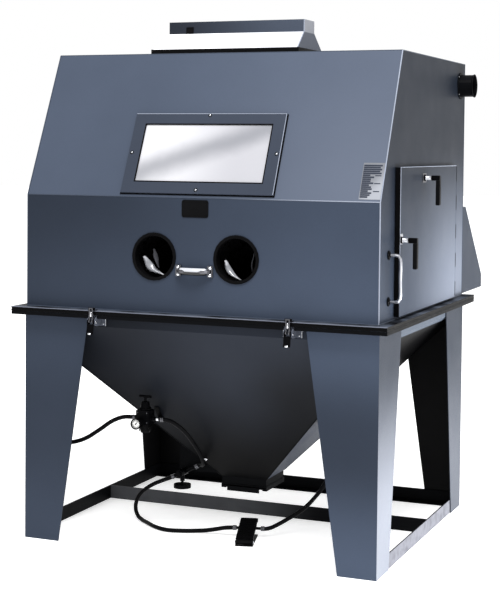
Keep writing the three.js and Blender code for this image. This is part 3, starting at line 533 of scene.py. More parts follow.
def add_turned(form, origin, axis, profile, sides):
    """A turned solid: profile points (radius, height along axis) in millimetres, from axis to axis."""
    along = Vector(axis).normalized()
    side = along.orthogonal().normalized()
    other = along.cross(side)
    rings = []
    for r, h in profile:
        middle = Vector(origin) + along * h * MM
        if r < 1e-6:
            rings.append([form.verts.new(middle)])
            continue
        rings.append([
            form.verts.new(middle + r * MM * (side * math.cos(a) + other * math.sin(a)))
            for a in (2 * math.pi * i / sides for i in range(sides))
        ])
    for a, b in zip(rings, rings[1:]):
        for i in range(sides):
            j = (i + 1) % sides
            quad = [a[i % len(a)], a[j % len(a)], b[j % len(b)], b[i % len(b)]]
            form.faces.new(list(dict.fromkeys(quad)))


def turned(name, origin, axis, profile, look, body, sides):
    form = bmesh.new()
    add_turned(form, origin, axis, profile, sides)
    return finished(name, form, look, body)


def domes(name, places, axis, r, h, look, body):
    """Round fastener heads, as one piece."""
    form = bmesh.new()
    profile = [(0, -0.2), (r, -0.2), (r, h * 0.3), (r * 0.8, h * 0.75), (r * 0.45, h), (0, h * 1.02)]
    for place in places:
        add_turned(form, place, axis, profile, 16)
    return finished(name, form, look, body)


def line(name, points, r, look, body, smooth=False):
    """A round bar, bead or hose through points given as places."""
    data = bpy.data.curves.new(name, "CURVE")
    data.dimensions = "3D"
    data.bevel_depth = r * MM
    data.bevel_resolution = 4
    data.use_fill_caps = True
    spline = data.splines.new("BEZIER" if smooth else "POLY")
    dots = spline.bezier_points if smooth else spline.points
    dots.add(len(points) - 1)
    for dot, place in zip(dots, points):
        if smooth:
            dot.co = place
            dot.handle_left_type = dot.handle_right_type = "AUTO"
        else:
            dot.co = (*place, 1)
    spline.resolution_u = 8
    return piece(name, data, look, body)


# ---- Air hoses ----

HOSES = {
    "hose_supply": (0.385, [
        (-318.5, -395, 452), (-340, -395.5, 452), (-368, -398, 450), (-396, -401, 441), (-424, -405, 426),
        (-452, -410, 405), (-480, -416, 385), (-512, -423, 364), (-548, -431, 349), (-584, -441, 342),
        (-616, -456, 343), (-642, -469.4, 349.5), (-661.7, -470, 350)]),
    "hose_regulator": (0.414, [
        (-216.5, -395, 452), (-200, -394, 452), (-180, -382, 445), (-160, -358, 425), (-142, -330, 396),
        (-130, -300, 361), (-124, -270, 329), (-119, -246, 299), (-121, -220, 270), (-130, -196, 250),
        (-144, -172, 242), (-157, -151, 238), (-171.4, -142.4, 231.9), (-185.3, -142, 224.4)]),
    "hose_pedal_in": (0.768, [
        (-270.4, -150, 183.7), (-290, -150.5, 174), (-326, -152, 159), (-362, -154, 142), (-394, -156, 121),
        (-418, -158, 98), (-432, -161, 70), (-433, -166, 40), (-420, -174, 17), (-396, -192, 9),
        (-348, -232, 8.4), (-290, -276, 8.4), (-236, -296, 8.4), (-180, -286, 8.4), (-128, -266, 9),
        (-90, -255, 12), (-50, -251, 20), (-15, -250, 28.5), (12, -248.4, 32.3), (32.6, -242.9, 33)]),
    "hose_pedal_out": (0.573, [
        (122.4, -219, 33), (140, -214.2, 33), (156, -204, 36), (172, -186, 43), (190, -162, 53),
        (212, -140, 67), (240, -122, 86), (270, -110, 113), (295, -100, 143), (316, -90, 172),
        (338, -79, 210), (360, -66, 256), (378, -54, 302), (389, -43, 344), (386, -35, 378),
        (372, -31, 402), (352.2, -30, 421.6)]),
}


def make_hoses():
    for name, (length, route) in HOSES.items():
        places = [at(*p) for p in route]
        hose = line(name + "_rubber", places, HOSE / 2, HOSE_LOOK, "stand", smooth=True)
        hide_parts(name)
        ferrules = bmesh.new()
        for end, inner in ((places[0], places[1]), (places[-1], places[-2])):
            add_turned(ferrules, end, inner - end, [(HOSE / 2 + r, h) for r, h in (
                (-1, 0), (1.6, 0), (1.6, 3), (0.8, 4), (0.8, 7), (1.6, 8), (1.6, 13), (-1, 14))], 20)
        rings = finished(name + "_ferrules", ferrules, DULL, "stand")


make_hoses()

# ---- Hood details ----

UP_SLOPE = Vector((0, SETBACK, ROOF - BEND)).normalized()
OUT_OF_SLOPE = Vector((1, 0, 0)).cross(UP_SLOPE)


def slope_at(u, v, w=0.0):
    """A place on the sloping front: u across, v up from the bend, w out of the sheet, in millimetres."""
    return at(0, -HALF_D, BEND) + MM * (Vector((u, 0, 0)) + UP_SLOPE * v + OUT_OF_SLOPE * w)


def add_plate(form, to_place, u, v, w, corner=0.0, steps=5):
    """A plate with rounded corners, between ranges u, v and w of a flat frame."""
    outline = []
    for k, (cu, cv) in enumerate(((u[1], v[1]), (u[0], v[1]), (u[0], v[0]), (u[1], v[0]))):
        mu = cu - corner if cu == u[1] else cu + corner
        mv = cv - corner if cv == v[1] else cv + corner
        for i in range(steps + 1 if corner else 1):
            a = math.pi / 2 * (k + i / steps)
            outline.append((mu + corner * math.cos(a), mv + corner * math.sin(a)))
    add_prism(form, *([to_place(a, b, h) for a, b in outline] for h in w))


def front_at(u, v, w):
    """A place on the upright front: u across, v above the floor, w out of the sheet."""
    return at(u, -HALF_D - w, v)


def side_at(u, v, w):
    """A place on the right side: u is towards the back, v above the floor, w out of the sheet."""
    return at(HALF_W + w, u, v)


def make_seams():
    """The folded and welded edges of the hood, as thin bars in paler enamel: painted edge highlights, bright
    on the right front edge and faint elsewhere.
    """
    x, y, rear = HALF_W - 0.6, -HALF_D + 0.6, HALF_D - 0.6
    low, top, foot = HOOD_FOOT + 2, ROOF - 0.6, HOOD_FOOT + 1.5
    setback = y + SETBACK
    runs = [
        ("right_front_seam", ((x, y, low), (x, y, BEND), (x, setback, ROOF - 1)), 2.3, EDGE_HIGHLIGHT),
        ("left_front_seam", ((-x, y, low), (-x, y, BEND), (-x, setback, ROOF - 1)), 2.0, FAINT_EDGE),
        ("bend_seam", ((-x, y, BEND), (x, y, BEND)), 1.8, BEND_EDGE),
        ("roof_front_seam", ((-x, setback, top), (x, setback, top)), 1.8, FAINT_EDGE),
        ("roof_right_seam", ((x, setback, top), (x, HALF_D - 1, top)), 1.8, FAINT_EDGE),
        ("roof_left_seam", ((-x, setback, top), (-x, HALF_D - 1, top)), 1.8, FAINT_EDGE),
        ("roof_rear_seam", ((-x, rear, top), (x, rear, top)), 1.8, FAINT_EDGE),
        ("rear_left_seam", ((-x, rear, low), (-x, rear, top)), 1.8, FAINT_EDGE),
        ("rear_right_seam", ((x, rear, low), (x, rear, top)), 1.8, FAINT_EDGE),
        ("hood_foot_weld_front", ((-x, y - 1.5, foot), (x, y - 1.5, foot)), 2.2, FAINT_EDGE),
        ("hood_foot_weld_right", ((x + 1.5, y, foot), (x + 1.5, HALF_D, foot)), 2.2, FAINT_EDGE),
        ("hood_foot_weld_left", ((-x - 1.5, y, foot), (-x - 1.5, HALF_D, foot)), 2.2, FAINT_EDGE),
    ]
    for name, route, r, look in runs:
        line(name, [at(*p) for p in route], r, look, "hood")


WINDOW_U, WINDOW_V = 297, (13, 329)
PANE_U, PANE_V = 252, (56, 288)


def make_window():
    form = bmesh.new()
    edge = 4
    for u, v in (((-PANE_U, PANE_U), (PANE_V[0], PANE_V[0] + edge)),
                 ((-PANE_U, PANE_U), (PANE_V[1] - edge, PANE_V[1])),
                 ((-PANE_U, -PANE_U + edge), PANE_V), ((PANE_U - edge, PANE_U), PANE_V)):
        add_plate(form, slope_at, u, v, (6.1, 9.8))
    finished("window_seal", form, RUBBER, "hood", smooth=False)
    seam = bmesh.new()
    for u, v in (((-WINDOW_U - 4, WINDOW_U + 3), (WINDOW_V[0] - 4, WINDOW_V[0])),
                 ((WINDOW_U, WINDOW_U + 4), (WINDOW_V[0] - 4, WINDOW_V[1])),
                 ((-WINDOW_U - 3, -WINDOW_U), (WINDOW_V[0] - 2, WINDOW_V[1] - 8))):
        add_plate(seam, slope_at, u, v, (0, 3.2))
    finished("window_frame_gasket", seam, RUBBER, "hood", smooth=False)
    # A pale bar along the window frame's top and right edges: a painted edge highlight.
    rim = [slope_at(-WINDOW_U + 1, WINDOW_V[1] - 1, 8.6), slope_at(WINDOW_U - 1, WINDOW_V[1] - 1, 8.6),
           slope_at(WINDOW_U - 1, WINDOW_V[0] + 1, 8.6)]
    line("window_frame_edge_highlight", rim, 1.5, EDGE_HIGHLIGHT, "hood")
    middle = sum(WINDOW_V) / 2
    spots = [(0, WINDOW_V[1] - 7), (0, WINDOW_V[0] + 14), (-WINDOW_U + 13, middle), (WINDOW_U - 13, middle)]
    domes("window_screws", [slope_at(u, v, 9) for u, v in spots], OUT_OF_SLOPE, 4, 3, STEEL, "hood")
    washers = bmesh.new()
    for u, v in spots:
        add_turned(washers, slope_at(u, v, 9), OUT_OF_SLOPE, [(0, -0.3), (7, -0.3), (7, 0.8), (0, 0.9)], 20)
    finished("window_washers", washers, RUBBER, "hood")


def make_plates():
    plate = bmesh.new()
    add_plate(plate, front_at, (-52, 52), (1221, 1284), (0, 2), 9)
    finished("blank_nameplate", plate, PLASTIC, "hood", bevel=0.6)
    border = bmesh.new()
    for u, v in (((-44, 44), (1275, 1276.5)), ((-44, 44), (1228.5, 1230)),
                 ((-44, -42.5), (1228.5, 1276.5)), ((42.5, 44), (1228.5, 1276.5)), ((-14, 14), (1251, 1254))):
        add_plate(border, front_at, u, v, (1.9, 2.5))
    finished("nameplate_border", border, PLASTIC, "hood", smooth=False)
    domes("nameplate_rivets", [front_at(u, v, 2) for u in (-46, 46) for v in (1226.5, 1278.5)], (0, -1, 0),
          1.8, 1.2, DARK, "hood")
    low, high = ((z - BEND) / UP_SLOPE.z - 5 for z in (1304, 1428))
    label = bmesh.new()
    add_plate(label, slope_at, (607, 684), (low, high), (0, 0.8), 2)
    finished("blank_label", label, PALE, "hood", smooth=False)
    bars = bmesh.new()
    rows, rim, left = 17, 6, 609.5
    pitch = (high - low - 2 * rim) / rows
    for i in range(rows):
        v = high - rim - pitch * (i + 1)
        reach = 26 + 16 * (0.5 + 0.5 * math.sin(i * 2.3)) if i > 4 else 66 - 6 * (i % 2)
        add_plate(bars, slope_at, (left, left + reach), (v, v + pitch * 0.8), (0.7, 1.0))
        if i > 3 and i % 4 == 1:
            add_plate(bars, slope_at, (654, 676), (v, v + pitch * 0.5), (0.7, 1.0))
    finished("label_bars", bars, INK, "hood", smooth=False)


LAMP_FOOT_X, LAMP_FOOT_Y = (-294, 290), (-324, -65)


def make_lamp():
    (x0, x1), (y0, y1) = LAMP_FOOT_X, LAMP_FOOT_Y
    band = bmesh.new()
    inner, outer = 0.2, 4
    for (u0, v0), (u1, v1) in (((x0 - outer, y0 - outer), (x1 + outer, y0 - inner)),
                               ((x0 - outer, y1 + inner), (x1 + outer, y1 + outer)),
                               ((x0 - outer, y0 - inner), (x0 - inner, y1 + inner)),
                               ((x1 + inner, y0 - inner), (x1 + outer, y1 + inner))):
        add_block(band, (u0, v0, ROOF + 0.5), (u1, v1, ROOF + 17))
    finished("lamp_gasket", band, RUBBER, "hood", bevel=1.0)
    tube_y, thin, thick, length = -197, 13, 19, 462
    tube = [(0, 0), (thin, 0), (thin, 12), (thick, 14), (thick, 16), (thick, length - 16),
            (thick, length - 14), (thin, length - 12), (thin, length), (0, length)]
    turned("lamp_tube", at(-233, tube_y, 1896), (1, 0, 0), tube, GLOW, "hood", 28)
    holders = bmesh.new()
    for x in (-243, 228):
        add_block(holders, (x, tube_y - 15, 1878), (x + 11, tube_y + 15, 1940))
    finished("lamp_holders", holders, PLASTIC, "hood", bevel=1.5)
    bezel = bmesh.new()
    for u, v in (((-188, -158), (1901.6, 1904)), ((-188, -158), (1922, 1924.4)),
                 ((-188, -185.6), (1904, 1922)), ((-160.4, -158), (1904, 1922))):
        add_block(bezel, (u[0], -252.4, v[0]), (u[1], -250, v[1]))
    finished("switch_bezel", bezel, PLASTIC, "hood", bevel=0.5)
    # A pale bar on the lamp cover's right front corner: a painted edge highlight.
    corner = [at(287, -251, 1944), at(287, -251, 1899), at(289.5, -325, 1837)]
    line("lamp_cover_edge", corner, 2.0, EDGE_HIGHLIGHT, "hood")
    domes("lamp_cover_screws", [at(x, y0 - 3.5, ROOF + 9) for x in (-250, -85, 85, 250)], (0, -1, 0), 4, 2.5,
          DARK, "hood")


def make_lift_handle():
    """An oval grip bowed between two feet, each with a bright screw above and below."""
    z, sides, thick, tall, end = 1030, 28, 9.5, 13, 53
    form = bmesh.new()
    rings = []
    for x, share in ((-end, 0.6), (-50, 0.85), (-44, 0.97), (-22, 1), (0, 1), (22, 1), (44, 0.97),
                     (50, 0.85), (end, 0.6)):
        y = -HALF_D - 24 + 10 * (x / end) ** 2
        rings.append([form.verts.new(at(x, y + thick * share * math.cos(a), z + tall * share * math.sin(a)))
                      for a in (2 * math.pi * k / sides for k in range(sides))])
    add_skin(form, rings)
    form.faces.new(rings[0][::-1])
    form.faces.new(rings[-1])
    finished("lift_handle_grip", form, grip_look(z), "hood")
    heads = [at(s * 62, -HALF_D - 6.8, z + dz) for s in (-1, 1) for dz in (-12.5, 13.5)]
    domes("lift_handle_screws", heads, (0, -1, 0), 6.5, 4.5, CHROME, "hood")


def make_arm_holes():
    for name, s in SIDES:
        centre = at(s * ARM_X, -HALF_D, ARM_Z)
        bead = [(ARM_R, 3), (ARM_R - 1.5, 0), (ARM_R, -3), (ARM_R + 3, -4.5), (ARM_R + 6, -3.5),
                (ARM_R + 7.5, -0.5), (ARM_R + 6, 0), (ARM_R, 3)]
        turned(f"arm_bead_{name}", centre, (0, 1, 0), bead, RUBBER, "hood", 56)
        band = [(86.6, 14), (88.4, 14.5), (88.4, 25.5), (86.6, 26), (86.6, 14)]
        turned(f"glove_clamp_{name}", centre, (0, 1, 0), band, STEEL, "hood", 56)


GLOVE_LINE = [(6, 0, 86), (44, -1, 86), (110, -14, 77), (200, -52, 64), (265, -95, 54), (320, -130, 45),
              (352, -143, 43)]
FOLD_SPOTS = {"left": ((-52, -4), (30, -66), 17), "right": ((-51, -6), (10, -72), 13)}


def thicken(sheet, offset):
    """Gives a rubber sheet its wall."""
    wall = sheet.modifiers.new("wall", "SOLIDIFY")
    wall.thickness = 1.6 * MM
    wall.offset = offset


def sleeve_ring(y, z, r, tilt, seed, sides, painted_light_fade):
    """One ring of the sleeve, creased lengthways and pinched across."""
    ring = []
    for j in range(sides):
        a = 2 * math.pi * j / sides
        crease = 0.045 * math.sin(5 * a + seed + 0.035 * y) + 0.03 * math.sin(9 * a - 0.05 * y + seed)
        pinch = 0.03 * math.sin(0.11 * y + 2 * math.sin(a + seed))
        reach = r * (1 - painted_light_fade * (0.05 + abs(crease + pinch)))
        across, up = reach * math.cos(a), reach * math.sin(a)
        ring.append((across, y - up * math.sin(tilt), z + up * math.cos(tilt)))
    return ring


def make_glove(name, s, seed):
    """A limp rubber gauntlet: a creased sleeve with a palm, four fingers and a thumb."""
    form = bmesh.new()
    sides, steps = 48, 56
    spans = len(GLOVE_LINE) - 1
    rings = []
    for k in range(steps + 1):
        t = spans * k / steps
        i = min(int(t), spans - 1)
        f = t - i
        a, b = GLOVE_LINE[i], GLOVE_LINE[i + 1]
        y, z, r = (a[n] + (b[n] - a[n]) * (f * f * (3 - 2 * f) if n else f) for n in range(3))
        tilt = math.atan2(b[1] - a[1], b[0] - a[0]) * 0.9
        rings.append(sleeve_ring(y, z, r - 1.5, tilt, seed, sides, min(1, k / 6)))
    made = [[form.verts.new(at(s * ARM_X + x, -HALF_D + y, ARM_Z + z)) for x, y, z in ring] for ring in rings]
    add_skin(form, made)
    sleeve = finished(f"glove_sleeve_{name}", form, GLOVE, "hood")
    thicken(sleeve, 1)
    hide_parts(f"glove_{name}")
    hand = bmesh.new()
    last = GLOVE_LINE[-1]
    wrist = Vector((s * ARM_X, -HALF_D + last[0], ARM_Z + last[1]))
    ahead = Vector((0, 0.975, -0.22)).normalized()
    palm = [(wrist + ahead * h, rx, rz) for h, rx, rz in
            ((-6, 40, 38), (8, 38, 30), (24, 36, 22), (42, 34, 18), (56, 31, 13), (62, 18, 6))]
    add_loft(hand, palm, ahead)
    for dx, start, length, r in ((-21, 30, 62, 10), (-7, 34, 68, 10.5), (8, 32, 64, 10), (21, 26, 52, 9)):
        root = wrist + Vector((dx, 0, -2)) + ahead * start
        droop = Vector((0.10 * dx / 20, 0.93, -0.36)).normalized()
        add_loft(hand, [(root + droop * h, r * k, r * k) for h, k in
                        ((0, 1), (length * 0.3, 1.02), (length * 0.6, 0.97), (length * 0.85, 0.85),
                         (length * 0.97, 0.5))], droop)
    thumb = Vector((-s * 0.72, 0.66, -0.2)).normalized()
    root = wrist + Vector((-s * 24, 8, -2))
    add_loft(hand, [(root + thumb * h, k, k) for h, k in ((0, 12), (14, 12), (30, 10.5), (42, 8.5), (48, 4))],
             thumb)
    finished(f"glove_hand_{name}", hand, GLOVE, "hood")


def add_loft(form, rings, ahead):
    """A closed tube through rings (middle in millimetres, half width, half height)."""
    sides = 18
    side = Vector((1, 0, 0))
    lift = side.cross(ahead).normalized()
    side = ahead.cross(lift).normalized()
    made = []
    for middle, rx, rz in rings:
        made.append([
            form.verts.new(at(*(middle + side * rx * math.cos(a) + lift * rz * math.sin(a))))
            for a in (2 * math.pi * j / sides for j in range(sides))
        ])
    add_skin(form, made)
    form.faces.new(made[0][::-1])
    form.faces.new(made[-1])


def make_fold(name, s, start, finish, width, look, bulge=13):
    """A slack fold of the sleeve that hangs across the arm hole, coloured by its look as a painted highlight.
    """
    form = bmesh.new()
    steps, across = 22, 9
    a, b = Vector(start), Vector(finish)
    chord = b - a
    out = Vector((chord.y, -chord.x)).normalized()
    if out.y > 0:
        out = -out
    grid = []
    for i in range(steps + 1):
        t = i / steps
        bow = out * bulge * math.sin(math.pi * t)
        half = width * math.sin(math.pi * (0.04 + 0.93 * t)) ** 0.7 * (1.2 - 0.95 * t)
        row = []
        for j in range(across):
            w = 2 * j / (across - 1) - 1
            flat = a + chord * t + bow + out * w * half
            flat *= min(1, (ARM_R - 3) / flat.length)
            depth = 16 + 9 * w * w + 3 * math.sin(7 * t + 2 * w)
            row.append(form.verts.new(at(s * ARM_X + flat.x, -HALF_D + depth, ARM_Z + flat.y)))
        grid.append(row)
    for p, q in zip(grid, grid[1:]):
        for j in range(across - 1):
            form.faces.new([p[j], p[j + 1], q[j + 1], q[j]])
    thicken(finished(f"glove_fold_{name}", form, look, "hood"), 0)


def make_folds():
    for name, s in SIDES:
        start, finish, width = FOLD_SPOTS[name]
        make_fold(name, s, start, finish, width, FOLD_HIGHLIGHT)
    # Fainter painted highlights: an inner fold in the left hole and a thin one at the right hole's outer
    # edge.
    make_fold("left_inner", -1, (-12, 26), (10, -42), 9, DIM_FOLD, 2)
    make_fold("right_outer", 1, (63, 26), (54, -40), 2.2, DIM_FOLD, -5)


# ---- Side door and right side ----

DOOR_Y, DOOR_Z, DOOR_OUT = (-400, 376), (886, 1408), 20
LEVERS = (("top", -95, 1367), ("front", -388, 1154))


def make_door():
    face = HALF_W + DOOR_OUT
    trim = bmesh.new()
    add_block(trim, (HALF_W + 1.5, DOOR_Y[0] - 2.2, DOOR_Z[0]), (face - 0.5, DOOR_Y[0] - 0.1, DOOR_Z[1]))
    finished("door_edge_trim", trim, RUBBER, "door", bevel=0.5)
    # A pale bar along the door's front and top edges: a painted edge highlight.
    lit = [at(face - 0.6, DOOR_Y[0] + 0.4, DOOR_Z[0] + 60), at(face - 0.6, DOOR_Y[0] + 0.4, DOOR_Z[1]),
           at(face - 0.6, DOOR_Y[1] - 3, DOOR_Z[1])]
    line("door_edge_highlight", lit, 1.7, EDGE_HIGHLIGHT, "door")
    seal = bmesh.new()
    (y0, y1), (z0, z1) = DOOR_Y, DOOR_Z
    for y, z in (((y0 + 4, y0 + 20), (z0 + 4, z1 - 4)), ((y1 - 20, y1 - 4), (z0 + 4, z1 - 4)),
                 ((y0 + 20, y1 - 20), (z0 + 4, z0 + 20)), ((y0 + 20, y1 - 20), (z1 - 20, z1 - 4))):
        add_block(seal, (HALF_W + 2.6, y[0], z[0]), (HALF_W + 17.9, y[1], z[1]))
    finished("door_seal", seal, RUBBER, "door", bevel=2.5)
    for name, y, z in LEVERS:
        body = f"door_lever_{name}"
        boss = [(0, 5.5), (9, 5.5), (9.4, 7.5), (7.6, 8.5), (7.1, 10), (7.1, 30), (0, 30)]
        turned(f"lever_boss_{name}", at(face, y, z), (1, 0, 0), boss, STEEL, body, 28)
        grip = bmesh.new()
        add_block(grip, (face + 45, y - 11, z - 100), (face + 61, y + 11, z - 8))
        finished(f"lever_grip_{name}", grip, PLASTIC, body, bevel=4, segments=3)
        knuckle = bmesh.new()
        add_block(knuckle, (face + 27, y - 8.6, z - 9.4), (face + 59.9, y + 8.6, z + 9.4))
        finished(f"lever_arm_{name}", knuckle, CAST, body, bevel=3, segments=3)
    for name, u, v, look in (("front", (-402, -370), (1140, 1176), STEEL),
                             ("top", (-122, -72), (1350, 1384), DULL)):
        plate = bmesh.new()
        add_plate(plate, side_at, u, v, (DOOR_OUT, DOOR_OUT + 1.8), 4)
        finished(f"{name}_lever_plate", plate, look, "door", bevel=0.5)
    domes("door_hinge_screws", [at(HALF_W + 14, 400, z) for z in range(916, 1400, 52)], (1, 0, 0), 4, 1.6,
          DARK, "hood")
    # A black strip along the door's rear edge: painted shade of the gap.
    gap = bmesh.new()
    add_block(gap, (HALF_W, DOOR_Y[1] + 0.5, DOOR_Z[0]), (HALF_W + 3, DOOR_Y[1] + 8, DOOR_Z[1]))
    finished("door_rear_gap_shade", gap, RUBBER, "hood", bevel=0.8)


def make_pull_handle():
    y = -470
    for name, z in (("top", 1106), ("bottom", 945)):
        rose = [(0, 0.3), (16, 0.3), (16, 3), (12, 5.5), (7, 6.5), (6.3, 9), (0, 9)]
        turned(f"pull_handle_rose_{name}", at(HALF_W, y, z), (1, 0, 0), rose, CAST, "hood", 28)
        spots = [at(HALF_W + 3, y + dy, z) for dy in (-11.5, 11.5)]
        domes(f"pull_handle_screws_{name}", spots, (1, 0, 0), 2.6, 2, CHROME, "hood")


def make_spigot():
    y, z, ring = 500, 1729, 48.5
    bead = [(40.9, 54), (44.6, 54), (46.6, 57), (46.6, 59), (44, 60), (40.9, 60), (40.9, 54)]
    turned("spigot_rolled_bead", at(HALF_W, y, z), (1, 0, 0), bead, DARK, "hood", 48)
    spots = [at(HALF_W + 4, y + ring * math.cos(a), z + ring * math.sin(a)) for a in
             (math.pi / 4 + math.pi / 2 * i for i in range(4))]
    domes("spigot_rivets", spots, (1, 0, 0), 2.4, 1.6, STEEL, "hood")


def make_air_inlet():
    y = HALF_D + 0.3
    for name, x in (("right", 682.5), ("left", 300.5)):
        edge = [at(x, y + dy, z) for dy, z in ((1, 1235.5), (56, 1235.5), (353.5, 933), (353.5, 880))]
        # The seams use the faint painted edge highlight.
        line(f"air_inlet_{name}_seam", edge, 1.6, FAINT_EDGE, "hood")


# ---- Stand details ----


def make_stand():
    throat, throat_z, mouth_z = 95, 190, 811
    for side, sx in SIDES:
        for tag, sy in (("front", -1), ("rear", 1)):
            ridge = [at(sx * throat, sy * throat, throat_z + 1), at(sx * HALF_W, sy * HALF_D, mouth_z - 1)]
            line(f"hopper_{side}_{tag}_weld", ridge, 2.0, DARK, "stand")
    reach_x, reach_y = HALF_W + FLANGE_REACH, HALF_D + FLANGE_REACH
    # A black strip under the flange's outer edge: a painted shadow of the flange, notched at the latches.
    skirt = bmesh.new()
    notch, (low, high) = 19, (845, 858)
    stops = [-reach_x + 0.5, *(x + s * notch for x in LATCH_X for s in (-1, 1)), reach_x - 0.5]
    for x0, x1 in zip(stops[::2], stops[1::2]):
        add_block(skirt, (x0, -reach_y + 0.5, low), (x1, -reach_y + 3.5, high))
    for s in (-1, 1):
        x0, x1 = sorted((s * (reach_x - 0.5), s * (reach_x - 3.5)))
        add_block(skirt, (x0, -reach_y + 3.5, low), (x1, reach_y - 0.5, high))
    finished("flange_shadow_strip", skirt, DARK, "stand", bevel=0.8)
    # A pale bar along the hood flange's front edge: a painted highlight.
    line("hood_flange_edge_highlight", [at(x, -reach_y + 0.6, HOOD_FOOT - 0.6) for x in (-reach_x, reach_x)], 1.5,
         FLANGE_EDGE, "hood")
    bolt_z = 261
    wall_y = -throat - (HALF_D - throat) / (mouth_z - throat_z) * (bolt_z - throat_z)
    domes("hopper_wall_bolt", [at(-138, wall_y - 1, bolt_z)], (0, -0.79, -0.61), 7, 6, CHROME, "stand")


def make_valve_bracket():
    """A plate that hangs from the hopper's left wall and carries the line valve."""
    outline = [(-262, 336), (-224, 332), (-150, 254), (-112, 215), (-112, 203), (-268, 196)]
    form = bmesh.new()
    add_prism(form, *([at(x, y, z) for x, z in outline] for y in (-113, -110)))
    finished("valve_bracket", form, DARK, "stand", smooth=False)


def make_latches():
    for name, x in zip(("left", "right"), LATCH_X):
        spots = [at(x + dx, -HALF_D - 3.3, z) for dx in (-25, 25) for z in (823, 846)]
        domes(f"latch_screws_{name}", spots, (0, -1, 0), 3.2, 2.4, STEEL, "stand")
        edges = bmesh.new()
        for low, high in ((-35.4, -32.5), (32.5, 35.4)):
            add_block(edges, (x + low, -HALF_D - 4.6, 815.6), (x + high, -HALF_D - 0.6, 853.4))
        finished(f"latch_plate_edges_{name}", edges, STEEL, "stand", bevel=1)
        for side, s in (("outer", 1), ("inner", -1)):
            pin = [(0, 0), (4.6, 0), (4.6, 1.2), (3.4, 2.2), (0, 2.5)]
            turned(f"latch_pin_{name}_{side}", at(x + s * 16.5, -HALF_D - 44, 832), (s, 0, 0), pin, CHROME,
                   "stand", 18)
        sleeve = [(0, 0), (3, 0), (3.3, 1), (3.3, 17), (2.8, 18), (0, 18)]
        turned(f"latch_sleeve_{name}", at(x, -HALF_D - 53.5, 853), (0, 0, 1), sleeve, CHROME,
               f"{name}_latch_hook", 16)
        tip = [(0, 0), (2.6, 0.4), (3.6, 2), (3.6, 10), (2.6, 11.6), (0, 12)]
        turned(f"latch_tip_{name}", at(x - 6, -HALF_D - 64, 792), (1, 0, 0), tip, CHROME,
               f"{name}_latch_lever", 20)


def make_regulator():
    x, y, z = -280, -395, 458
    nut = [(0, 26), (24, 26), (24.5, 28), (24.5, 33), (22, 35), (0, 35)]
    turned("regulator_ring", at(x, y, z), (0, 0, 1), nut, CAST, "stand", 6)
    ribs = bmesh.new()
    count, r = 16, 21.4
    for a in (2 * math.pi * i / count for i in range(count)):
        spot = at(x + r * math.cos(a), y + r * math.sin(a), z - 32)
        add_turned(ribs, spot, (0, 0, -1), [(0, 0), (1.3, 0), (1.3, 22), (0, 23)], 8)
    finished("regulator_bowl_ribs", ribs, PLASTIC, "stand")
    screws = [at(x + dx, y - 26, z + dz) for dx in (-19, 19) for dz in (-18, 18)]
    domes("regulator_screws", screws, (0, -1, 0), 2.4, 1.6, DULL, "stand")
    fitting = [(0, 46), (6.4, 46), (6.8, 47), (6.8, 56), (6.2, 57), (0, 57)]
    turned("regulator_outlet_sleeve", at(x, y, 452), (1, 0, 0), fitting, CHROME, "stand", 24)
    gx, gy, gz = -287, -450, 440
    dial_r = 17.3
    lip = [(dial_r, -12.4), (18.2, -13.6), (20.4, -13.2), (21, -11), (20.4, -6), (20, -6), (dial_r, -6),
           (dial_r, -12.4)]
    turned("gauge_bezel", at(gx, gy, gz), (0, 1, 0), lip, GLOSS_BLACK, "stand", 40)
    dial = [(0, -7.4), (dial_r, -7.4), (dial_r, -6.2), (0, -6.2)]
    turned("gauge_dial", at(gx, gy, gz), (0, 1, 0), dial, WHITE, "stand", 40)
    marks = bmesh.new()
    for i in range(11):
        a = math.radians(225 - 27 * i)
        out = Vector((math.cos(a), 0, math.sin(a)))
        across = Vector((-math.sin(a), 0, math.cos(a)))
        base = at(gx, gy - 7.4, gz)
        inner = 12.6 if i % 5 else 11.2
        corners = [base + MM * (out * r + across * w) for r, w in
                   ((inner, -0.4), (15.8, -0.4), (15.8, 0.4), (inner, 0.4))]
        add_prism(marks, corners, [c + Vector((0, -0.3 * MM, 0)) for c in corners])
    finished("gauge_marks", marks, INK, "stand", smooth=False)


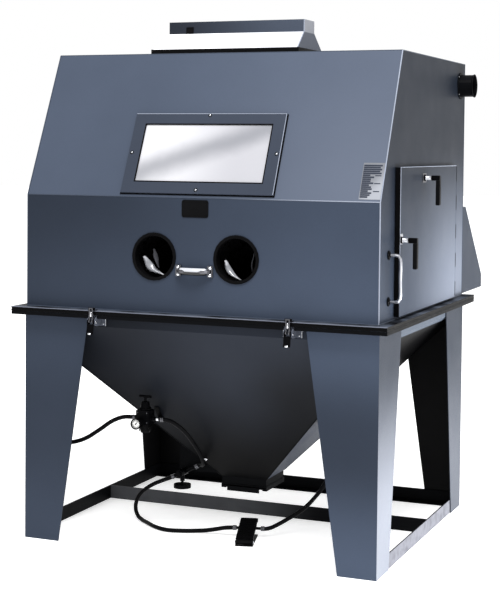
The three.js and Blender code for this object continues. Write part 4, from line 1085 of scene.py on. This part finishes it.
def make_pedal():
    turn = Matrix.Rotation(math.radians(15), 3, "Z")
    base = Vector((92, -285, 0))
    form = bmesh.new()
    slope = Vector((0, 152, 39)).normalized()
    lift = Vector((1, 0, 0)).cross(slope)
    for i in range(11):
        middle = Vector((0, -62 + 14 * i * slope.y, 29.2 + 14 * i * slope.z + 0.9))
        add_prism(form, *([at(*(base + turn @ (middle + Vector((dx, 0, 0)) + slope * dv + lift * w)))
                           for dx, dv in ((-27, -3), (27, -3), (27, 3), (-27, 3))] for w in (0, 2.4)))
    finished("pedal_tread_ribs", form, RUBBER, "pedal_treadle", bevel=0.8)
    for name, s in SIDES:
        place = at(*(base + turn @ Vector((s * 33, -69, 13))))
        axis = turn @ Vector((s, 0, 0))
        turned(f"pedal_pin_{name}", place, axis, [(0, 0), (5, 0), (5, 1.5), (3, 3), (0, 3.2)], STEEL, "stand",
               18)


# ---- Stage and light ----


def make_stage():
    form = bmesh.new()
    r = 40
    form.faces.new([form.verts.new(v) for v in ((-r, -r, 0), (r, -r, 0), (r, r, 0), (-r, r, 0))])
    mesh = bpy.data.meshes.new("floor")
    form.to_mesh(mesh)
    form.free()
    floor = bpy.data.objects.new("floor", mesh)
    floor.location.z = -0.0005
    bpy.context.scene.collection.objects.link(floor)
    look = Look("floor_white", (0.93, 0.93, 0.93), 0.9, specular=0.1)
    look.shader.inputs["Emission Color"].default_value = (1, 1, 1, 1)
    look.shader.inputs["Emission Strength"].default_value = 0.5
    mesh.materials.append(look.material)
    world = bpy.data.worlds.new("world")
    bpy.context.scene.world = world
    world.use_nodes = True
    world.node_tree.nodes["Background"].inputs["Color"].default_value = (1, 1, 1, 1)
    world.node_tree.nodes["Background"].inputs["Strength"].default_value = 1.0
    bpy.context.scene.view_settings.view_transform = "Standard"


def area_light(name, place, target, size, watts):
    data = bpy.data.lights.new(name, "AREA")
    data.shape = "RECTANGLE"
    data.size, data.size_y = size
    data.energy = watts
    lamp = bpy.data.objects.new(name, data)
    bpy.context.scene.collection.objects.link(lamp)
    lamp.location = place
    lamp.rotation_euler = (Vector(target) - Vector(place)).to_track_quat("-Z", "Y").to_euler()


make_seams()
make_window()
make_plates()
make_lamp()
make_lift_handle()
make_arm_holes()
for side_name, sign, start_seed in (("left", -1, 0.7), ("right", 1, 2.9)):
    make_glove(side_name, sign, start_seed)
make_folds()
make_door()
make_pull_handle()
make_spigot()
make_air_inlet()
make_stand()
make_valve_bracket()
make_latches()
make_regulator()
make_pedal()
make_stage()
area_light("key", (1.2, -2.6, 5.5), (0, -0.4, 1.5), (2.0, 2.0), 430)
area_light("low_right", (2.6, 0.2, 0.3), (0.7, 0.2, 0.7), (2.2, 0.5), 55)
